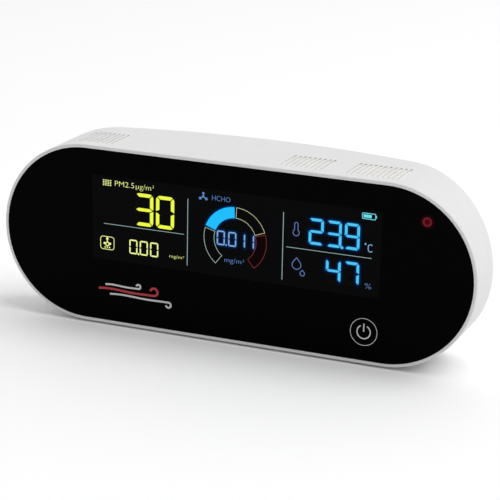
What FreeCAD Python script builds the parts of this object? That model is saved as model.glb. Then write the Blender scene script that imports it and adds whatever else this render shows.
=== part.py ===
import FreeCAD, Part
import math
import os
import Sketcher
from FreeCAD import Placement, Rotation, Vector

# Desktop air quality monitor: a round-ended slab that stands on four pads, with a glossy black
# front panel over a segment display, and sensors, a battery and a charging port behind it.
#
# Row frame: X to the right seen from the front, Y from the front to the back, Z up. The origin is
# at the middle of the footprint, on the surface that the monitor stands on.
#
# Inside each piece the axes are the same but start at the middle of the front panel's face, so a
# place reads as (x, depth behind the face, rise above its middle). Every piece's Placement
# carries it from there into the row frame.

DIMENSIONS = {
    # body: two straight runs joined by round ends, cut off behind by a wide upright cylinder
    "shell_half": 64.5,
    "shell_radius": 37.5,
    "body_depth": 43.0,
    "back_radius": 260.0,
    "wall": 2.2,
    "front_wall": 2.0,
    "rim_round": 0.5,
    "back_round": 1.0,
    # front panel and the tape that holds it
    "lens_radius": 36.1,
    "lens_gap": 0.06,
    "lens_thickness": 1.5,
    "lens_round": 0.2,
    "tape_thickness": 0.2,
    "tape_radius": 35.8,
    "tape_width": 2.9,
    # display stack
    "lcd_left": -64.5,
    "lcd_right": 66.0,
    "lcd_bottom": -12.7,
    "lcd_top": 28.3,
    "lcd_depth": 1.9,
    "lcd_thickness": 2.0,
    "lcd_clearance": 0.3,
    "film_thickness": 0.3,
    "guide_thickness": 3.0,
    "reflector_thickness": 0.2,
    "frame_border": 2.5,
    "frame_floor": 7.7,
    "frame_back": 8.9,
    "tab_radius": 3.4,
    "tab_back": 8.4,
    "tab_thickness": 2.0,
    "tab_lead": 3.2,
    # boards
    "board_front": 10.5,
    "board_thickness": 1.6,
    "board_left": -76.0,
    "board_right": 84.0,
    "board_half_height": 27.0,
    "board_corner": 4.0,
    "board_boss_radius": 3.0,
    "buzzer_x": 76.0,
    "buzzer_rise": -6.0,
    "buzzer_radius": 6.0,
    "buzzer_height": 6.0,
    # touch key and status light
    "key_x": 57.2,
    "key_rise": -24.2,
    "key_hole": 5.0,
    "spring_radius": 3.0,
    "spring_wire": 0.5,
    "light_x": 81.0,
    "light_rise": 23.7,
    "light_hole": 2.2,
    "lamp_radius": 1.5,
    "lamp_front": 4.4,
    "flange_radius": 1.9,
    "flange_front": 7.4,
    "flange_thickness": 1.0,
    "shroud_outer": 2.9,
    "shroud_inner": 2.1,
    "shroud_length": 5.6,
    # vents in the top
    "vent_width": 1.1,
    "vent_pitch": 2.1,
    "vent_front": 5.5,
    "vent_length": 17.0,
    "vent_wall": 0.55,
    "screen_thickness": 0.35,
    "screen_edge": 0.8,
    "screen_gap": 0.2,
    # back cover and its screws
    "cover_gap": 0.2,
    "cover_round": 0.3,
    "boss_radius": 3.5,
    "post_radius": 3.4,
    "well_radius": 2.6,
    "seat_thickness": 2.0,
    "end_boss_end": 17.0,
    "mid_boss_end": 34.0,
    "end_boss_x": 93.0,
    "end_boss_rise": 13.3,
    "mid_boss_x": -8.0,
    "mid_boss_rise": 31.3,
    "rib_half": 1.2,
    "air_slot_radius": 0.7,
    "air_slot_half": 7.0,
    "air_slot_pitch": 3.0,
    "air_slot_x": -60.2,
    "air_slot_rise": 7.0,
    "port_gap": 0.35,
    "sound_hole_radius": 0.8,
    "sound_hole_pitch": 3.2,
    # screws
    "shank_radius": 1.1,
    "screw_clearance": 0.03,
    "head_radius": 2.4,
    "head_height": 1.5,
    "screw_reach": 8.0,
    "cover_screw": 9.0,
    "board_screw": 6.0,
    "frame_screw": 5.0,
    "usb_screw": 6.0,
    "cross_width": 0.5,
    "cross_length": 3.0,
    "cross_depth": 0.7,
    # pads under the body
    "foot_radius": 4.0,
    "foot_stand": 0.8,
    "foot_sink": 0.7,
    "foot_x": 50.0,
    "foot_front": 9.5,
    "foot_back": 29.0,
    # battery
    "cell_radius": 9.15,
    "cell_length": 65.0,
    "cell_left": -60.2,
    "cell_depth": 24.2,
    "cell_rise": -14.2,
    "contact_size": 9.0,
    "contact_thickness": 0.4,
    "contact_gap": 0.4,
    "spring_space": 4.3,
    "leaf_radius": 4.5,
    "leaf_thickness": 0.35,
    "leaf_width": 5.0,
    # particle sensor
    "pm_left": 18.5,
    "pm_width": 48.0,
    "pm_bottom": -4.5,
    "pm_height": 38.0,
    "pm_front": 14.1,
    "pm_thickness": 17.0,
    "pm_wall": 1.2,
    "fan_x": 53.0,
    "fan_rise": 16.0,
    "fan_radius": 10.0,
    "fan_front": 17.5,
    "fan_length": 6.8,
    "fan_blades": 9,
    "hub_radius": 5.2,
    "cup_radius": 4.4,
    "fan_shaft_radius": 0.75,
    "fan_bore_radius": 0.8,
    # gas sensor board
    "gas_left": -72.0,
    "gas_bottom": 2.0,
    "gas_width": 28.0,
    "gas_height": 28.0,
    "gas_front": 16.0,
    "gas_thickness": 1.0,
    # charging port
    "usb_x": 28.0,
    "usb_rise": -21.4,
    "usb_width": 8.94,
    "usb_height": 3.26,
    "usb_length": 7.4,
    "usb_mouth": 41.0,
    "usb_board_thickness": 1.0,
    "usb_post_depth": 22.0,
    "usb_post_spread": 7.5,
}

# vent groups: name of the screen, x of the first slot, number of slots
VENT_GROUPS = (
    ("left_vent_screen", -70.5, 8),
    ("middle_vent_screen", 18.4, 9),
    ("right_vent_screen", 46.0, 11),
)

doc = FreeCAD.newDocument("air_quality_monitor")
dims = doc.addObject("Spreadsheet::Sheet", "dims")


class Size:
    """A length together with the sheet formula that gives it."""

    def __init__(self, value, formula=None):
        self.value = float(value)
        self.formula = formula or f"({self.value:.6g})"

    def __float__(self):
        return self.value

    def __add__(self, other):
        other = as_size(other)
        return Size(self.value + other.value, f"({self.formula} + {other.formula})")

    def __sub__(self, other):
        other = as_size(other)
        return Size(self.value - other.value, f"({self.formula} - {other.formula})")

    def __mul__(self, other):
        other = as_size(other)
        return Size(self.value * other.value, f"({self.formula} * {other.formula})")

    def __truediv__(self, other):
        other = as_size(other)
        return Size(self.value / other.value, f"({self.formula} / {other.formula})")

    def __radd__(self, other):
        return as_size(other) + self

    def __rsub__(self, other):
        return as_size(other) - self

    def __rmul__(self, other):
        return as_size(other) * self

    def __neg__(self):
        return as_size(0) - self


def as_size(number):
    return number if isinstance(number, Size) else Size(number)


class Sheet:
    """The driving dimensions, read as Sizes: S.wall is the value of the cell named wall."""

    def __init__(self):
        for row, (alias, number) in enumerate(DIMENSIONS.items(), start=1):
            dims.set(f"A{row}", alias)
            dims.set(f"B{row}", str(number))
            dims.setAlias(f"B{row}", alias)
            setattr(self, alias, Size(number, f"dims.{alias}"))


S = Sheet()
doc.recompute()

SUBPARTS = {}


def bind(obj, **sizes):
    """Bind properties to sheet formulas; __ in a name stands for a dot."""
    for prop, number in sizes.items():
        obj.setExpression(prop.replace("__", "."), as_size(number).formula)


def subpart(obj, label):
    """Name a finished piece and carry it from the face's middle into the row frame.

    A lone primitive keeps its own Placement, so it is wrapped in a group first."""
    if obj.TypeId in ("Part::Box", "Part::Cylinder"):
        obj = group(obj)
    obj.Label = label
    bind(
        obj,
        Placement__Base__y=-(S.body_depth / 2),
        Placement__Base__z=S.foot_stand + S.shell_radius,
    )
    SUBPARTS[label] = obj
    return obj


# ---------------------------------------------------------------- sketch and body helpers


def new_body(label):
    body = doc.addObject("PartDesign::Body", label)
    return subpart(body, label)


def origin_feature(body, role):
    return next(f for f in body.Origin.OriginFeatures if f.Role == role)


def sketch_on(body, role, offset):
    sketch = body.newObject("Sketcher::SketchObject", "Sketch")
    sketch.AttachmentSupport = [(origin_feature(body, role), "")]
    sketch.MapMode = "FlatFace"
    bind(sketch, AttachmentOffset__Base__z=offset)
    return sketch


def dimension(sketch, kind, *places, to):
    """Add a driving dimension bound to a Size."""
    number = as_size(to)
    index = sketch.addConstraint(Sketcher.Constraint(kind, *places, number.value))
    sketch.setExpression(f"Constraints[{index}]", number.formula)


def fix_point(sketch, geometry, point, x, y):
    dimension(sketch, "DistanceX", -1, 1, geometry, point, to=x)
    dimension(sketch, "DistanceY", -1, 1, geometry, point, to=y)


def circle(x, y, radius):
    """A sketch drawer for a circle."""

    def draw(sketch):
        centre = Vector(float(x), float(y), 0)
        index = sketch.addGeometry(Part.Circle(centre, Vector(0, 0, 1), float(radius)))
        fix_point(sketch, index, 3, x, y)
        dimension(sketch, "Radius", index, to=radius)

    return draw


def rectangle(left, bottom, right, top):
    """A sketch drawer for an upright rectangle between two corners."""

    def draw(sketch):
        x0, y0, x1, y1 = (float(v) for v in (left, bottom, right, top))
        corners = [Vector(x0, y0, 0), Vector(x1, y0, 0), Vector(x1, y1, 0), Vector(x0, y1, 0)]
        lines = [
            sketch.addGeometry(Part.LineSegment(corners[i], corners[(i + 1) % 4])) for i in range(4)
        ]
        for i in range(4):
            sketch.addConstraint(Sketcher.Constraint("Coincident", lines[i], 2, lines[(i + 1) % 4], 1))
            kind = "Horizontal" if i % 2 == 0 else "Vertical"
            sketch.addConstraint(Sketcher.Constraint(kind, lines[i]))
        fix_point(sketch, lines[0], 1, left, bottom)
        fix_point(sketch, lines[2], 1, right, top)

    return draw


def stadium(x, y, half, radius, upright=False):
    """A sketch drawer for two straight runs joined by round ends, centred on (x, y)."""

    def draw(sketch):
        along = Vector(0, 1, 0) if upright else Vector(1, 0, 0)
        across = Vector(-along.y, along.x, 0)
        middle = Vector(float(x), float(y), 0)
        reach = along * float(half)
        side = across * float(radius)
        turn = math.pi / 2 if upright else 0.0
        ends = []
        for sign in (1, -1):
            start = turn - math.pi / 2 + (0 if sign == 1 else math.pi)
            full = Part.Circle(middle + reach * sign, Vector(0, 0, 1), float(radius))
            ends.append(sketch.addGeometry(Part.ArcOfCircle(full, start, start + math.pi)))
        upper = sketch.addGeometry(Part.LineSegment(middle + reach + side, middle - reach + side))
        lower = sketch.addGeometry(Part.LineSegment(middle - reach - side, middle + reach - side))
        sketch.addConstraint(Sketcher.Constraint("Tangent", ends[0], 2, upper, 1))
        sketch.addConstraint(Sketcher.Constraint("Tangent", upper, 2, ends[1], 1))
        sketch.addConstraint(Sketcher.Constraint("Tangent", ends[1], 2, lower, 1))
        sketch.addConstraint(Sketcher.Constraint("Tangent", lower, 2, ends[0], 1))
        dimension(sketch, "Radius", ends[0], to=radius)
        dx, dy = (0, half) if upright else (half, 0)
        fix_point(sketch, ends[0], 3, x + dx, y + dy)
        fix_point(sketch, ends[1], 3, x - dx, y - dy)

    return draw


def behind_arc(radius, crest, half_width, far):
    """A sketch drawer for all that lies between an arc that bulges back and a line far behind.

    The arc's middle is on the axis at crest, and its centre is in front of it by radius."""

    def draw(sketch):
        r, top, reach, back = (float(v) for v in (radius, crest, half_width, far))
        edge = top - r + math.sqrt(r * r - reach * reach)
        swing = math.asin(reach / r)
        full = Part.Circle(Vector(0, top - r, 0), Vector(0, 0, 1), r)
        arc = sketch.addGeometry(
            Part.ArcOfCircle(full, math.pi / 2 - swing, math.pi / 2 + swing)
        )
        points = [
            Vector(-reach, edge, 0),
            Vector(-reach, back, 0),
            Vector(reach, back, 0),
            Vector(reach, edge, 0),
        ]
        lines = [
            sketch.addGeometry(Part.LineSegment(points[i], points[i + 1])) for i in range(3)
        ]
        links = ((arc, 2, lines[0], 1), (lines[0], 2, lines[1], 1), (lines[1], 2, lines[2], 1))
        for first, end, second, start in links:
            sketch.addConstraint(Sketcher.Constraint("Coincident", first, end, second, start))
        sketch.addConstraint(Sketcher.Constraint("Coincident", lines[2], 2, arc, 1))
        sketch.addConstraint(Sketcher.Constraint("Vertical", lines[0]))
        sketch.addConstraint(Sketcher.Constraint("Vertical", lines[2]))
        dimension(sketch, "Radius", arc, to=radius)
        sketch.addConstraint(Sketcher.Constraint("PointOnObject", arc, 3, -2))
        dimension(sketch, "DistanceY", -1, 1, arc, 3, to=as_size(crest) - radius)
        fix_point(sketch, lines[1], 1, -as_size(half_width), far)
        fix_point(sketch, lines[1], 2, half_width, far)

    return draw


def feature(body, kind, sketch, length):
    made = body.newObject(f"PartDesign::{kind}", kind)
    made.Profile = sketch
    bind(made, Length=length)
    sketch.Visibility = False
    body.Tip = made
    return made


def pad(body, front, length, *drawers):
    """Add material from the depth called front backwards over length."""
    sketch = sketch_on(body, "XZ_Plane", -(as_size(front) + length))
    for draw in drawers:
        draw(sketch)
    return feature(body, "Pad", sketch, length)


def pocket(body, front, length, *drawers):
    """Cut from the depth called front backwards over length."""
    sketch = sketch_on(body, "XZ_Plane", -as_size(front))
    for draw in drawers:
        draw(sketch)
    return feature(body, "Pocket", sketch, length)


def pad_up(body, bottom, length, *drawers):
    """Add material from the rise called bottom upwards over length."""
    sketch = sketch_on(body, "XY_Plane", bottom)
    for draw in drawers:
        draw(sketch)
    return feature(body, "Pad", sketch, length)


def pocket_down(body, top, length, *drawers):
    """Cut from the rise called top downwards over length."""
    sketch = sketch_on(body, "XY_Plane", top)
    for draw in drawers:
        draw(sketch)
    return feature(body, "Pocket", sketch, length)


def cut_behind(body, radius, crest):
    """Cut off everything behind an upright cylinder that bulges back to the depth called crest."""
    reach = S.shell_half + S.shell_radius + 8
    sketch = sketch_on(body, "XY_Plane", S.shell_radius + 5)
    behind_arc(radius, crest, reach, S.body_depth + 20)(sketch)
    return feature(body, "Pocket", sketch, S.shell_radius * 2 + 10)


def cut_inside(body, radius, crest, near):
    """Cut off everything between the depth called near and an upright cylinder's inside."""
    reach = S.shell_half + S.shell_radius + 8
    sketch = sketch_on(body, "XY_Plane", S.shell_radius + 5)
    behind_arc(radius, crest, reach, near)(sketch)
    return feature(body, "Pocket", sketch, S.shell_radius * 2 + 10)


def pattern_along(body, original, role, pitch, count):
    """Repeat a feature along one of the body's own axes."""
    pattern = body.newObject("PartDesign::LinearPattern", "LinearPattern")
    pattern.Originals = [original]
    pattern.Direction = (origin_feature(body, role), [""])
    bind(pattern, Length=pitch * (count - 1))
    pattern.Occurrences = count
    body.Tip = pattern


def edges_where(shape, test):
    """Names of the edges for which test(edge) holds."""
    return [f"Edge{i}" for i, edge in enumerate(shape.Edges, start=1) if test(edge)]


def round_edges(body, base, radius, test):
    """Round the edges of the feature called base that pass the test."""
    doc.recompute()
    made = body.newObject("PartDesign::Fillet", "Fillet")
    made.Base = (base, edges_where(base.Shape, test))
    bind(made, Radius=radius)
    body.Tip = made
    return made


def lies_at_depth(depth):
    """A test for edges that lie wholly in the plane at that depth."""
    return lambda edge: all(
        abs(p.y - float(depth)) < 1e-4 for p in edge.discretize(Number=5)
    )


def lies_on_back(radius, crest):
    """A test for edges that lie on the upright cylinder of that radius and crest."""
    centre_depth = float(crest) - float(radius)

    def test(edge):
        for p in edge.discretize(Number=5):
            if abs(math.hypot(p.x, p.y - centre_depth) - float(radius)) > 1e-3:
                return False
        return True

    return test


# ---------------------------------------------------------------- primitive helpers


def block(x, depth, rise, width, thickness, height):
    """A box from its low corner; width along X, thickness along depth, height upwards."""
    made = doc.addObject("Part::Box", "Block")
    bind(
        made,
        Length=width,
        Width=thickness,
        Height=height,
        Placement__Base__x=x,
        Placement__Base__y=depth,
        Placement__Base__z=rise,
    )
    return made


AXES = {"x": Vector(1, 0, 0), "y": Vector(0, 1, 0), "z": Vector(0, 0, 1)}


def rod(x, depth, rise, radius, length, axis="y"):
    """A cylinder from the middle of its low end along the named axis."""
    made = doc.addObject("Part::Cylinder", "Rod")
    made.Placement = Placement(Vector(), Rotation(Vector(0, 0, 1), AXES[axis]))
    bind(
        made,
        Radius=radius,
        Height=length,
        Placement__Base__x=x,
        Placement__Base__y=depth,
        Placement__Base__z=rise,
    )
    return made


def ball(x, depth, rise, radius):
    made = doc.addObject("Part::Sphere", "Ball")
    bind(
        made,
        Radius=radius,
        Placement__Base__x=x,
        Placement__Base__y=depth,
        Placement__Base__z=rise,
    )
    return made


def fuse(*pieces):
    if len(pieces) == 1:
        return pieces[0]
    made = doc.addObject("Part::MultiFuse", "Fusion")
    made.Shapes = list(pieces)
    return made


def cut(base, *tools):
    made = doc.addObject("Part::Cut", "Cut")
    made.Base = base
    made.Tool = fuse(*tools)
    return made


def common(first, second):
    made = doc.addObject("Part::Common", "Common")
    made.Base = first
    made.Tool = second
    return made


def group(*pieces):
    """Separate solids kept together as one piece."""
    made = doc.addObject("Part::Compound", "Group")
    made.Links = list(pieces)
    return made


def wire_piece(label, shape):
    """A piece whose shape is swept from a path and already stands in its place."""
    made = doc.addObject("Part::Feature", label)
    made.Shape = Part.makeCompound([shape])
    subpart(made, label)


def slab(half, radius, front, length):
    """A round-ended prism made of a block and two rods."""
    return fuse(
        block(-as_size(half), front, -as_size(radius), half * 2, length, radius * 2),
        rod(-as_size(half), front, 0, radius, length),
        rod(half, front, 0, radius, length),
    )


# ---------------------------------------------------------------- shared places

RECESS_DEPTH = S.lens_thickness + S.tape_thickness
PLATE_BACK = RECESS_DEPTH + S.front_wall
INNER_RADIUS = S.shell_radius - S.wall
COVER_RADIUS = INNER_RADIUS - S.cover_gap
BOARD_BACK = S.board_front + S.board_thickness
CLEAR_HOLE = S.shank_radius + 0.2
PILOT_HOLE = S.shank_radius + S.screw_clearance

BOARD_BOSSES = ((-66.0, -23.0), (74.0, -21.0), (-72.0, 21.5), (74.5, 20.5))
TAB_RISES = (-4.0, 10.0)
USB_SOCKET = (28.0, -10.0)
SENSOR_SOCKET = (40.0, -13.5)
SOCKET_THICKNESS = 2.6
AIR_SLOT_COUNT = 6
# inner faces of the battery holder's end walls
HOLDER_LEFT = S.cell_left - S.contact_gap - S.contact_thickness - 0.1
HOLDER_RIGHT = HOLDER_LEFT + S.cell_length + S.spring_space
FOOT_SPOTS = [
    (side * S.foot_x, depth) for side in (-1, 1) for depth in (S.foot_front, S.foot_back)
]
END_BOSSES = [
    (sx * S.end_boss_x, sz * S.end_boss_rise) for sx in (-1, 1) for sz in (-1, 1)
]
MID_BOSSES = [(S.mid_boss_x, sz * S.mid_boss_rise) for sz in (-1, 1)]


def tab_spots():
    """Centres of the display frame's four screw tabs."""
    left = S.lcd_left - S.frame_border - S.tab_lead
    right = S.lcd_right + S.frame_border + S.tab_lead
    return [(x, as_size(rise)) for x in (left, right) for rise in TAB_RISES]


def usb_posts():
    """Centres of the two posts that carry the charging board, seen from above."""
    return [(S.usb_x + side * S.usb_post_spread, S.usb_post_depth) for side in (-1, 1)]


# ---------------------------------------------------------------- enclosure


def make_shell():
    """Outer body: rim, front wall behind the panel, side walls, bosses and vents."""
    body = doc.addObject("PartDesign::Body", "shell_body")
    pad(body, 0, S.body_depth, stadium(0, 0, S.shell_half, S.shell_radius))
    curved = cut_behind(body, S.back_radius, S.body_depth)
    rounded = round_edges(body, curved, S.back_round, lies_on_back(S.back_radius, S.body_depth))
    round_edges(body, rounded, S.rim_round, lies_at_depth(0))
    pocket(body, PLATE_BACK, S.body_depth, stadium(0, 0, S.shell_half, INNER_RADIUS))
    recess = stadium(0, 0, S.shell_half, S.lens_radius + S.lens_gap)
    pocket(body, 0, RECESS_DEPTH, recess)
    cut_front_wall(body)
    add_bosses(body)
    pocket_feet(body)
    for _, first, count in VENT_GROUPS:
        cut_vents(body, first, count)
    edge = S.screen_edge + S.screen_gap
    deep = S.wall - S.vent_wall + 1
    recesses = [
        vent_layer(first, count, S.shell_radius - S.vent_wall, deep, edge)
        for _, first, count in VENT_GROUPS
    ]
    subpart(cut(body, *recesses), "shell")


def cut_front_wall(body):
    """Windows for the display, the touch spring and the status light."""
    gap = S.lcd_clearance
    window = rectangle(S.lcd_left - gap, S.lcd_bottom - gap, S.lcd_right + gap, S.lcd_top + gap)
    key = circle(S.key_x, S.key_rise, S.key_hole)
    light = circle(S.light_x, S.light_rise, S.light_hole)
    pocket(body, 0, PLATE_BACK + 1, window, key, light)


def add_bosses(body):
    """Screw columns for the board, the display frame, the back cover and the charging board."""
    overlap = 0.5
    board_room = 2.0
    start = PLATE_BACK - overlap
    board = [circle(x, rise, S.board_boss_radius) for x, rise in BOARD_BOSSES]
    pad(body, start, S.board_front - start, *board)
    frame = [circle(x, rise, S.board_boss_radius) for x, rise in tab_spots()]
    pad(body, start, S.tab_back - S.tab_thickness - start, *frame)
    ends = [circle(x, rise, S.boss_radius) for x, rise in END_BOSSES]
    pad(body, start, S.end_boss_end - start, *ends)
    first = BOARD_BACK + board_room
    mids = [circle(x, rise, S.post_radius) for x, rise in MID_BOSSES]
    for sign in (1, -1):
        low, high = sorted((sign * S.mid_boss_rise, sign * (INNER_RADIUS + overlap)), key=float)
        rib = rectangle(S.mid_boss_x - S.rib_half, low, S.mid_boss_x + S.rib_half, high)
        pad(body, first, S.mid_boss_end - first, rib)
    pad(body, first, S.mid_boss_end - first, *mids)
    posts = [circle(x, depth, S.board_boss_radius) for x, depth in usb_posts()]
    bottom = -(INNER_RADIUS + overlap)
    top = S.usb_rise - S.usb_height / 2 - S.usb_board_thickness
    pad_up(body, bottom, top - bottom, *posts)
    drill_bosses(body, top)


def drill_bosses(body, usb_top):
    """Pilot holes for the self-tapping screws."""
    deep = S.screw_reach
    bite = 1.2
    spare = 1.0
    rows = (
        (S.board_front - S.board_screw, S.board_screw, BOARD_BOSSES),
        (PLATE_BACK - bite, S.tab_back - S.tab_thickness - PLATE_BACK + bite, tab_spots()),
        (S.end_boss_end - deep, deep, END_BOSSES),
        (S.mid_boss_end - deep, deep, MID_BOSSES),
    )
    for front, length, spots in rows:
        pocket(body, front, length, *[circle(x, rise, PILOT_HOLE) for x, rise in spots])
    posts = [circle(x, depth, PILOT_HOLE) for x, depth in usb_posts()]
    pocket_down(body, usb_top, S.usb_screw + spare, *posts)


def pocket_feet(body):
    """Shallow seats for the pads under the body."""
    gap = 0.1
    seats = [circle(x, depth, S.foot_radius + gap) for x, depth in FOOT_SPOTS]
    pocket_down(body, S.foot_sink - S.shell_radius, S.foot_sink + 1, *seats)


def cut_vents(body, first, count):
    """One group of slots through the top, side by side along X."""
    half = (S.vent_length - S.vent_width) / 2
    middle = S.vent_front + S.vent_length / 2
    slot = stadium(as_size(first), middle, half, S.vent_width / 2, upright=True)
    cutter = pocket_down(body, S.shell_radius + 1, S.wall + 3, slot)
    pattern_along(body, cutter, "X_Axis", S.vent_pitch, count)


def make_back_cover():
    """Curved plate that closes the back, with screw wells, port opening and air slots."""
    body = new_body("back_cover")
    past_back = S.body_depth + 1
    start = S.body_depth / 3
    pad(body, start, past_back - start, stadium(0, 0, S.shell_half, COVER_RADIUS))
    cut_inside(body, S.back_radius - S.wall, S.body_depth - S.wall, 0)
    for spots, front in ((END_BOSSES, S.end_boss_end), (MID_BOSSES, S.mid_boss_end)):
        posts = [circle(x, rise, S.post_radius) for x, rise in spots]
        pad(body, front, past_back - front, *posts)
    curved = cut_behind(body, S.back_radius, S.body_depth)
    on_back = lies_on_back(S.back_radius, S.body_depth)
    round_edges(body, curved, S.cover_round, on_back)
    for spots, front in ((END_BOSSES, S.end_boss_end), (MID_BOSSES, S.mid_boss_end)):
        wells = [circle(x, rise, S.well_radius) for x, rise in spots]
        pocket(body, front + S.seat_thickness, S.body_depth, *wells)
        holes = [circle(x, rise, CLEAR_HOLE) for x, rise in spots]
        pocket(body, front, S.seat_thickness + 1, *holes)
    open_cover(body)


def open_cover(body):
    """Openings in the back cover: charging port, air slots and the sounder's holes."""
    inner = S.body_depth / 2
    radius = S.usb_height / 2 + S.port_gap
    port = stadium(S.usb_x, S.usb_rise, S.usb_width / 2 + S.port_gap - radius, radius)
    pocket(body, inner, S.body_depth, port)
    air = stadium(S.air_slot_x, S.air_slot_rise, S.air_slot_half, S.air_slot_radius)
    cutter = pocket(body, inner, S.body_depth, air)
    pattern_along(body, cutter, "Z_Axis", S.air_slot_pitch, AIR_SLOT_COUNT)
    sound = [
        circle(S.buzzer_x + S.sound_hole_pitch * i, S.buzzer_rise, S.sound_hole_radius)
        for i in (-1, 0, 1)
    ]
    pocket(body, inner, S.body_depth, *sound)


def make_front_lens():
    body = new_body("front_lens")
    sheet = pad(body, 0, S.lens_thickness, stadium(0, 0, S.shell_half, S.lens_radius))
    round_edges(body, sheet, S.lens_round, lies_at_depth(0))


def make_lens_tape():
    """Adhesive ring between the panel and the front wall."""
    body = new_body("lens_tape")
    ring = stadium(0, 0, S.shell_half, S.tape_radius)
    hole = stadium(0, 0, S.shell_half, S.tape_radius - S.tape_width)
    pad(body, S.lens_thickness, S.tape_thickness, ring, hole)


def make_foot_pads():
    """Four soft discs that stand just proud of the underside."""
    bottom = -(S.shell_radius + S.foot_stand)
    tall = S.foot_stand + S.foot_sink
    pads = [rod(x, depth, bottom, S.foot_radius, tall, "z") for x, depth in FOOT_SPOTS]
    subpart(group(*pads), "foot_pads")


def vent_layer(first, count, outer, thickness, edge):
    """A curved strip that follows the top wall under one vent group and passes it by edge."""
    half = S.vent_width / 2
    front = S.vent_front - edge
    length = S.vent_length + 2 * edge
    ring = cut(
        slab(S.shell_half, outer, front, length),
        slab(S.shell_half, outer - thickness, 0, S.body_depth),
    )
    left = first - half - edge
    span = S.vent_pitch * (count - 1) + 2 * (half + edge)
    window = block(left, 0, S.shell_radius / 2, span, S.body_depth, S.shell_radius)
    return common(ring, window)


def make_vent_screen(label, first, count):
    """Dust screen in the recess behind one vent group."""
    glue_line = 0.02
    outer = S.shell_radius - S.vent_wall - glue_line
    subpart(vent_layer(first, count, outer, S.screen_thickness, S.screen_edge), label)


# ---------------------------------------------------------------- display


def make_lcd_frame():
    """Tray behind the front wall that clamps the display, with four screw tabs."""
    body = new_body("lcd_frame")
    edge = S.frame_border
    left, right = S.lcd_left - edge, S.lcd_right + edge
    bottom, top = S.lcd_bottom - edge, S.lcd_top + edge
    pad(body, PLATE_BACK, S.frame_back - PLATE_BACK, rectangle(left, bottom, right, top))
    arms = [circle(x, rise, S.tab_radius) for x, rise in tab_spots()]
    pad(body, S.tab_back - S.tab_thickness, S.tab_thickness, *arms)
    gap = S.lcd_clearance
    tray = rectangle(S.lcd_left - gap, S.lcd_bottom - gap, S.lcd_right + gap, S.lcd_top + gap)
    pocket(body, PLATE_BACK, S.frame_floor - PLATE_BACK, tray)
    open_frame_floor(body, left, bottom, top)
    holes = [circle(x, rise, CLEAR_HOLE) for x, rise in tab_spots()]
    pocket(body, S.tab_back - S.tab_thickness - 1, S.tab_thickness + 2, *holes)


def open_frame_floor(body, left, bottom, top):
    """Four windows that save plastic in the tray's floor, and the slot for the pins."""
    margin, rim = 12.0, 10.0
    pitch, width = 31.0, 22.0
    through = S.frame_back - S.frame_floor + 1
    starts = [left + margin + pitch * i for i in range(4)]
    openings = [rectangle(x, bottom + rim, x + width, top - rim) for x in starts]
    pocket(body, S.frame_floor, through, *openings)
    pin_margin, pin_slot = 30.0, 4.0
    slot = rectangle(
        S.lcd_left + pin_margin, S.lcd_bottom, S.lcd_right - pin_margin, S.lcd_bottom + pin_slot
    )
    pocket(body, S.frame_floor, through, slot)


def display_layer(label, front, thickness, inset=0.0, left=0.0, bottom=0.0):
    """One flat layer of the display stack; left and bottom leave room beside it."""
    made = block(
        S.lcd_left + inset + left,
        front,
        S.lcd_bottom + inset + bottom,
        S.lcd_right - S.lcd_left - 2 * inset - left,
        thickness,
        S.lcd_top - S.lcd_bottom - 2 * inset - bottom,
    )
    subpart(made, label)


def make_display():
    """The layers from front to back; the lower edge is left free for the pins."""
    edge = 0.4
    pin_room = 1.6
    lamp_room = 2.4
    front = S.lcd_depth
    display_layer("lcd_panel", front, S.lcd_thickness)
    front = front + S.lcd_thickness
    display_layer("diffuser_film", front, S.film_thickness, edge, bottom=pin_room)
    front = front + S.film_thickness
    display_layer(
        "light_guide", front, S.guide_thickness, edge, left=lamp_room, bottom=pin_room
    )
    make_backlight_strip(front)
    front = front + S.guide_thickness
    display_layer("reflector_sheet", front, S.reflector_thickness, edge, bottom=pin_room)


def make_backlight_strip(front):
    """Narrow board on edge with a row of lamps that shine into the light guide."""
    gap = 0.2
    thickness = 0.8
    height = 39.0
    lamp = (1.4, 2.0, 3.0)
    lamp_margin, lamp_pitch = 2.0, 5.0
    left = S.lcd_left + gap
    bottom = S.lcd_bottom + 1
    strip = block(left, front + gap, bottom, thickness, S.guide_thickness - 2 * gap, height)
    lamp_front = front + (S.guide_thickness - lamp[1]) / 2
    lamps = [
        block(left + thickness, lamp_front, bottom + lamp_margin + lamp_pitch * i, *lamp)
        for i in range(8)
    ]
    subpart(fuse(strip, *lamps), "backlight_strip")


def make_lcd_pins():
    """Row of pins from the display's lower edge back to the main board."""
    count = 24
    pitch = 2.0
    width, height = 0.5, 0.3
    above_edge = 1.2
    first = (float(S.lcd_left) + float(S.lcd_right) - pitch * (count - 1)) / 2 - width / 2
    front = S.lcd_depth + S.lcd_thickness
    rise = S.lcd_bottom + above_edge
    pins = [
        block(first + pitch * i, front, rise, width, S.board_front - front, height)
        for i in range(count)
    ]
    subpart(group(*pins), "lcd_pins")


# ---------------------------------------------------------------- boards


def make_main_board():
    body = new_body("main_board")
    tall = S.board_half_height
    outline = rectangle(S.board_left, -tall, S.board_right, tall)
    plate = pad(body, S.board_front, S.board_thickness, outline)
    round_edges(body, plate, S.board_corner, runs_along_depth)
    holes = [circle(x, rise, CLEAR_HOLE) for x, rise in BOARD_BOSSES]
    pocket(body, S.board_front, S.board_thickness + 1, *holes)


def runs_along_depth(edge):
    """True for straight edges that run from front to back."""
    ends = edge.Vertexes
    return len(ends) == 2 and abs(ends[0].Y - ends[1].Y) > 1e-3


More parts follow.
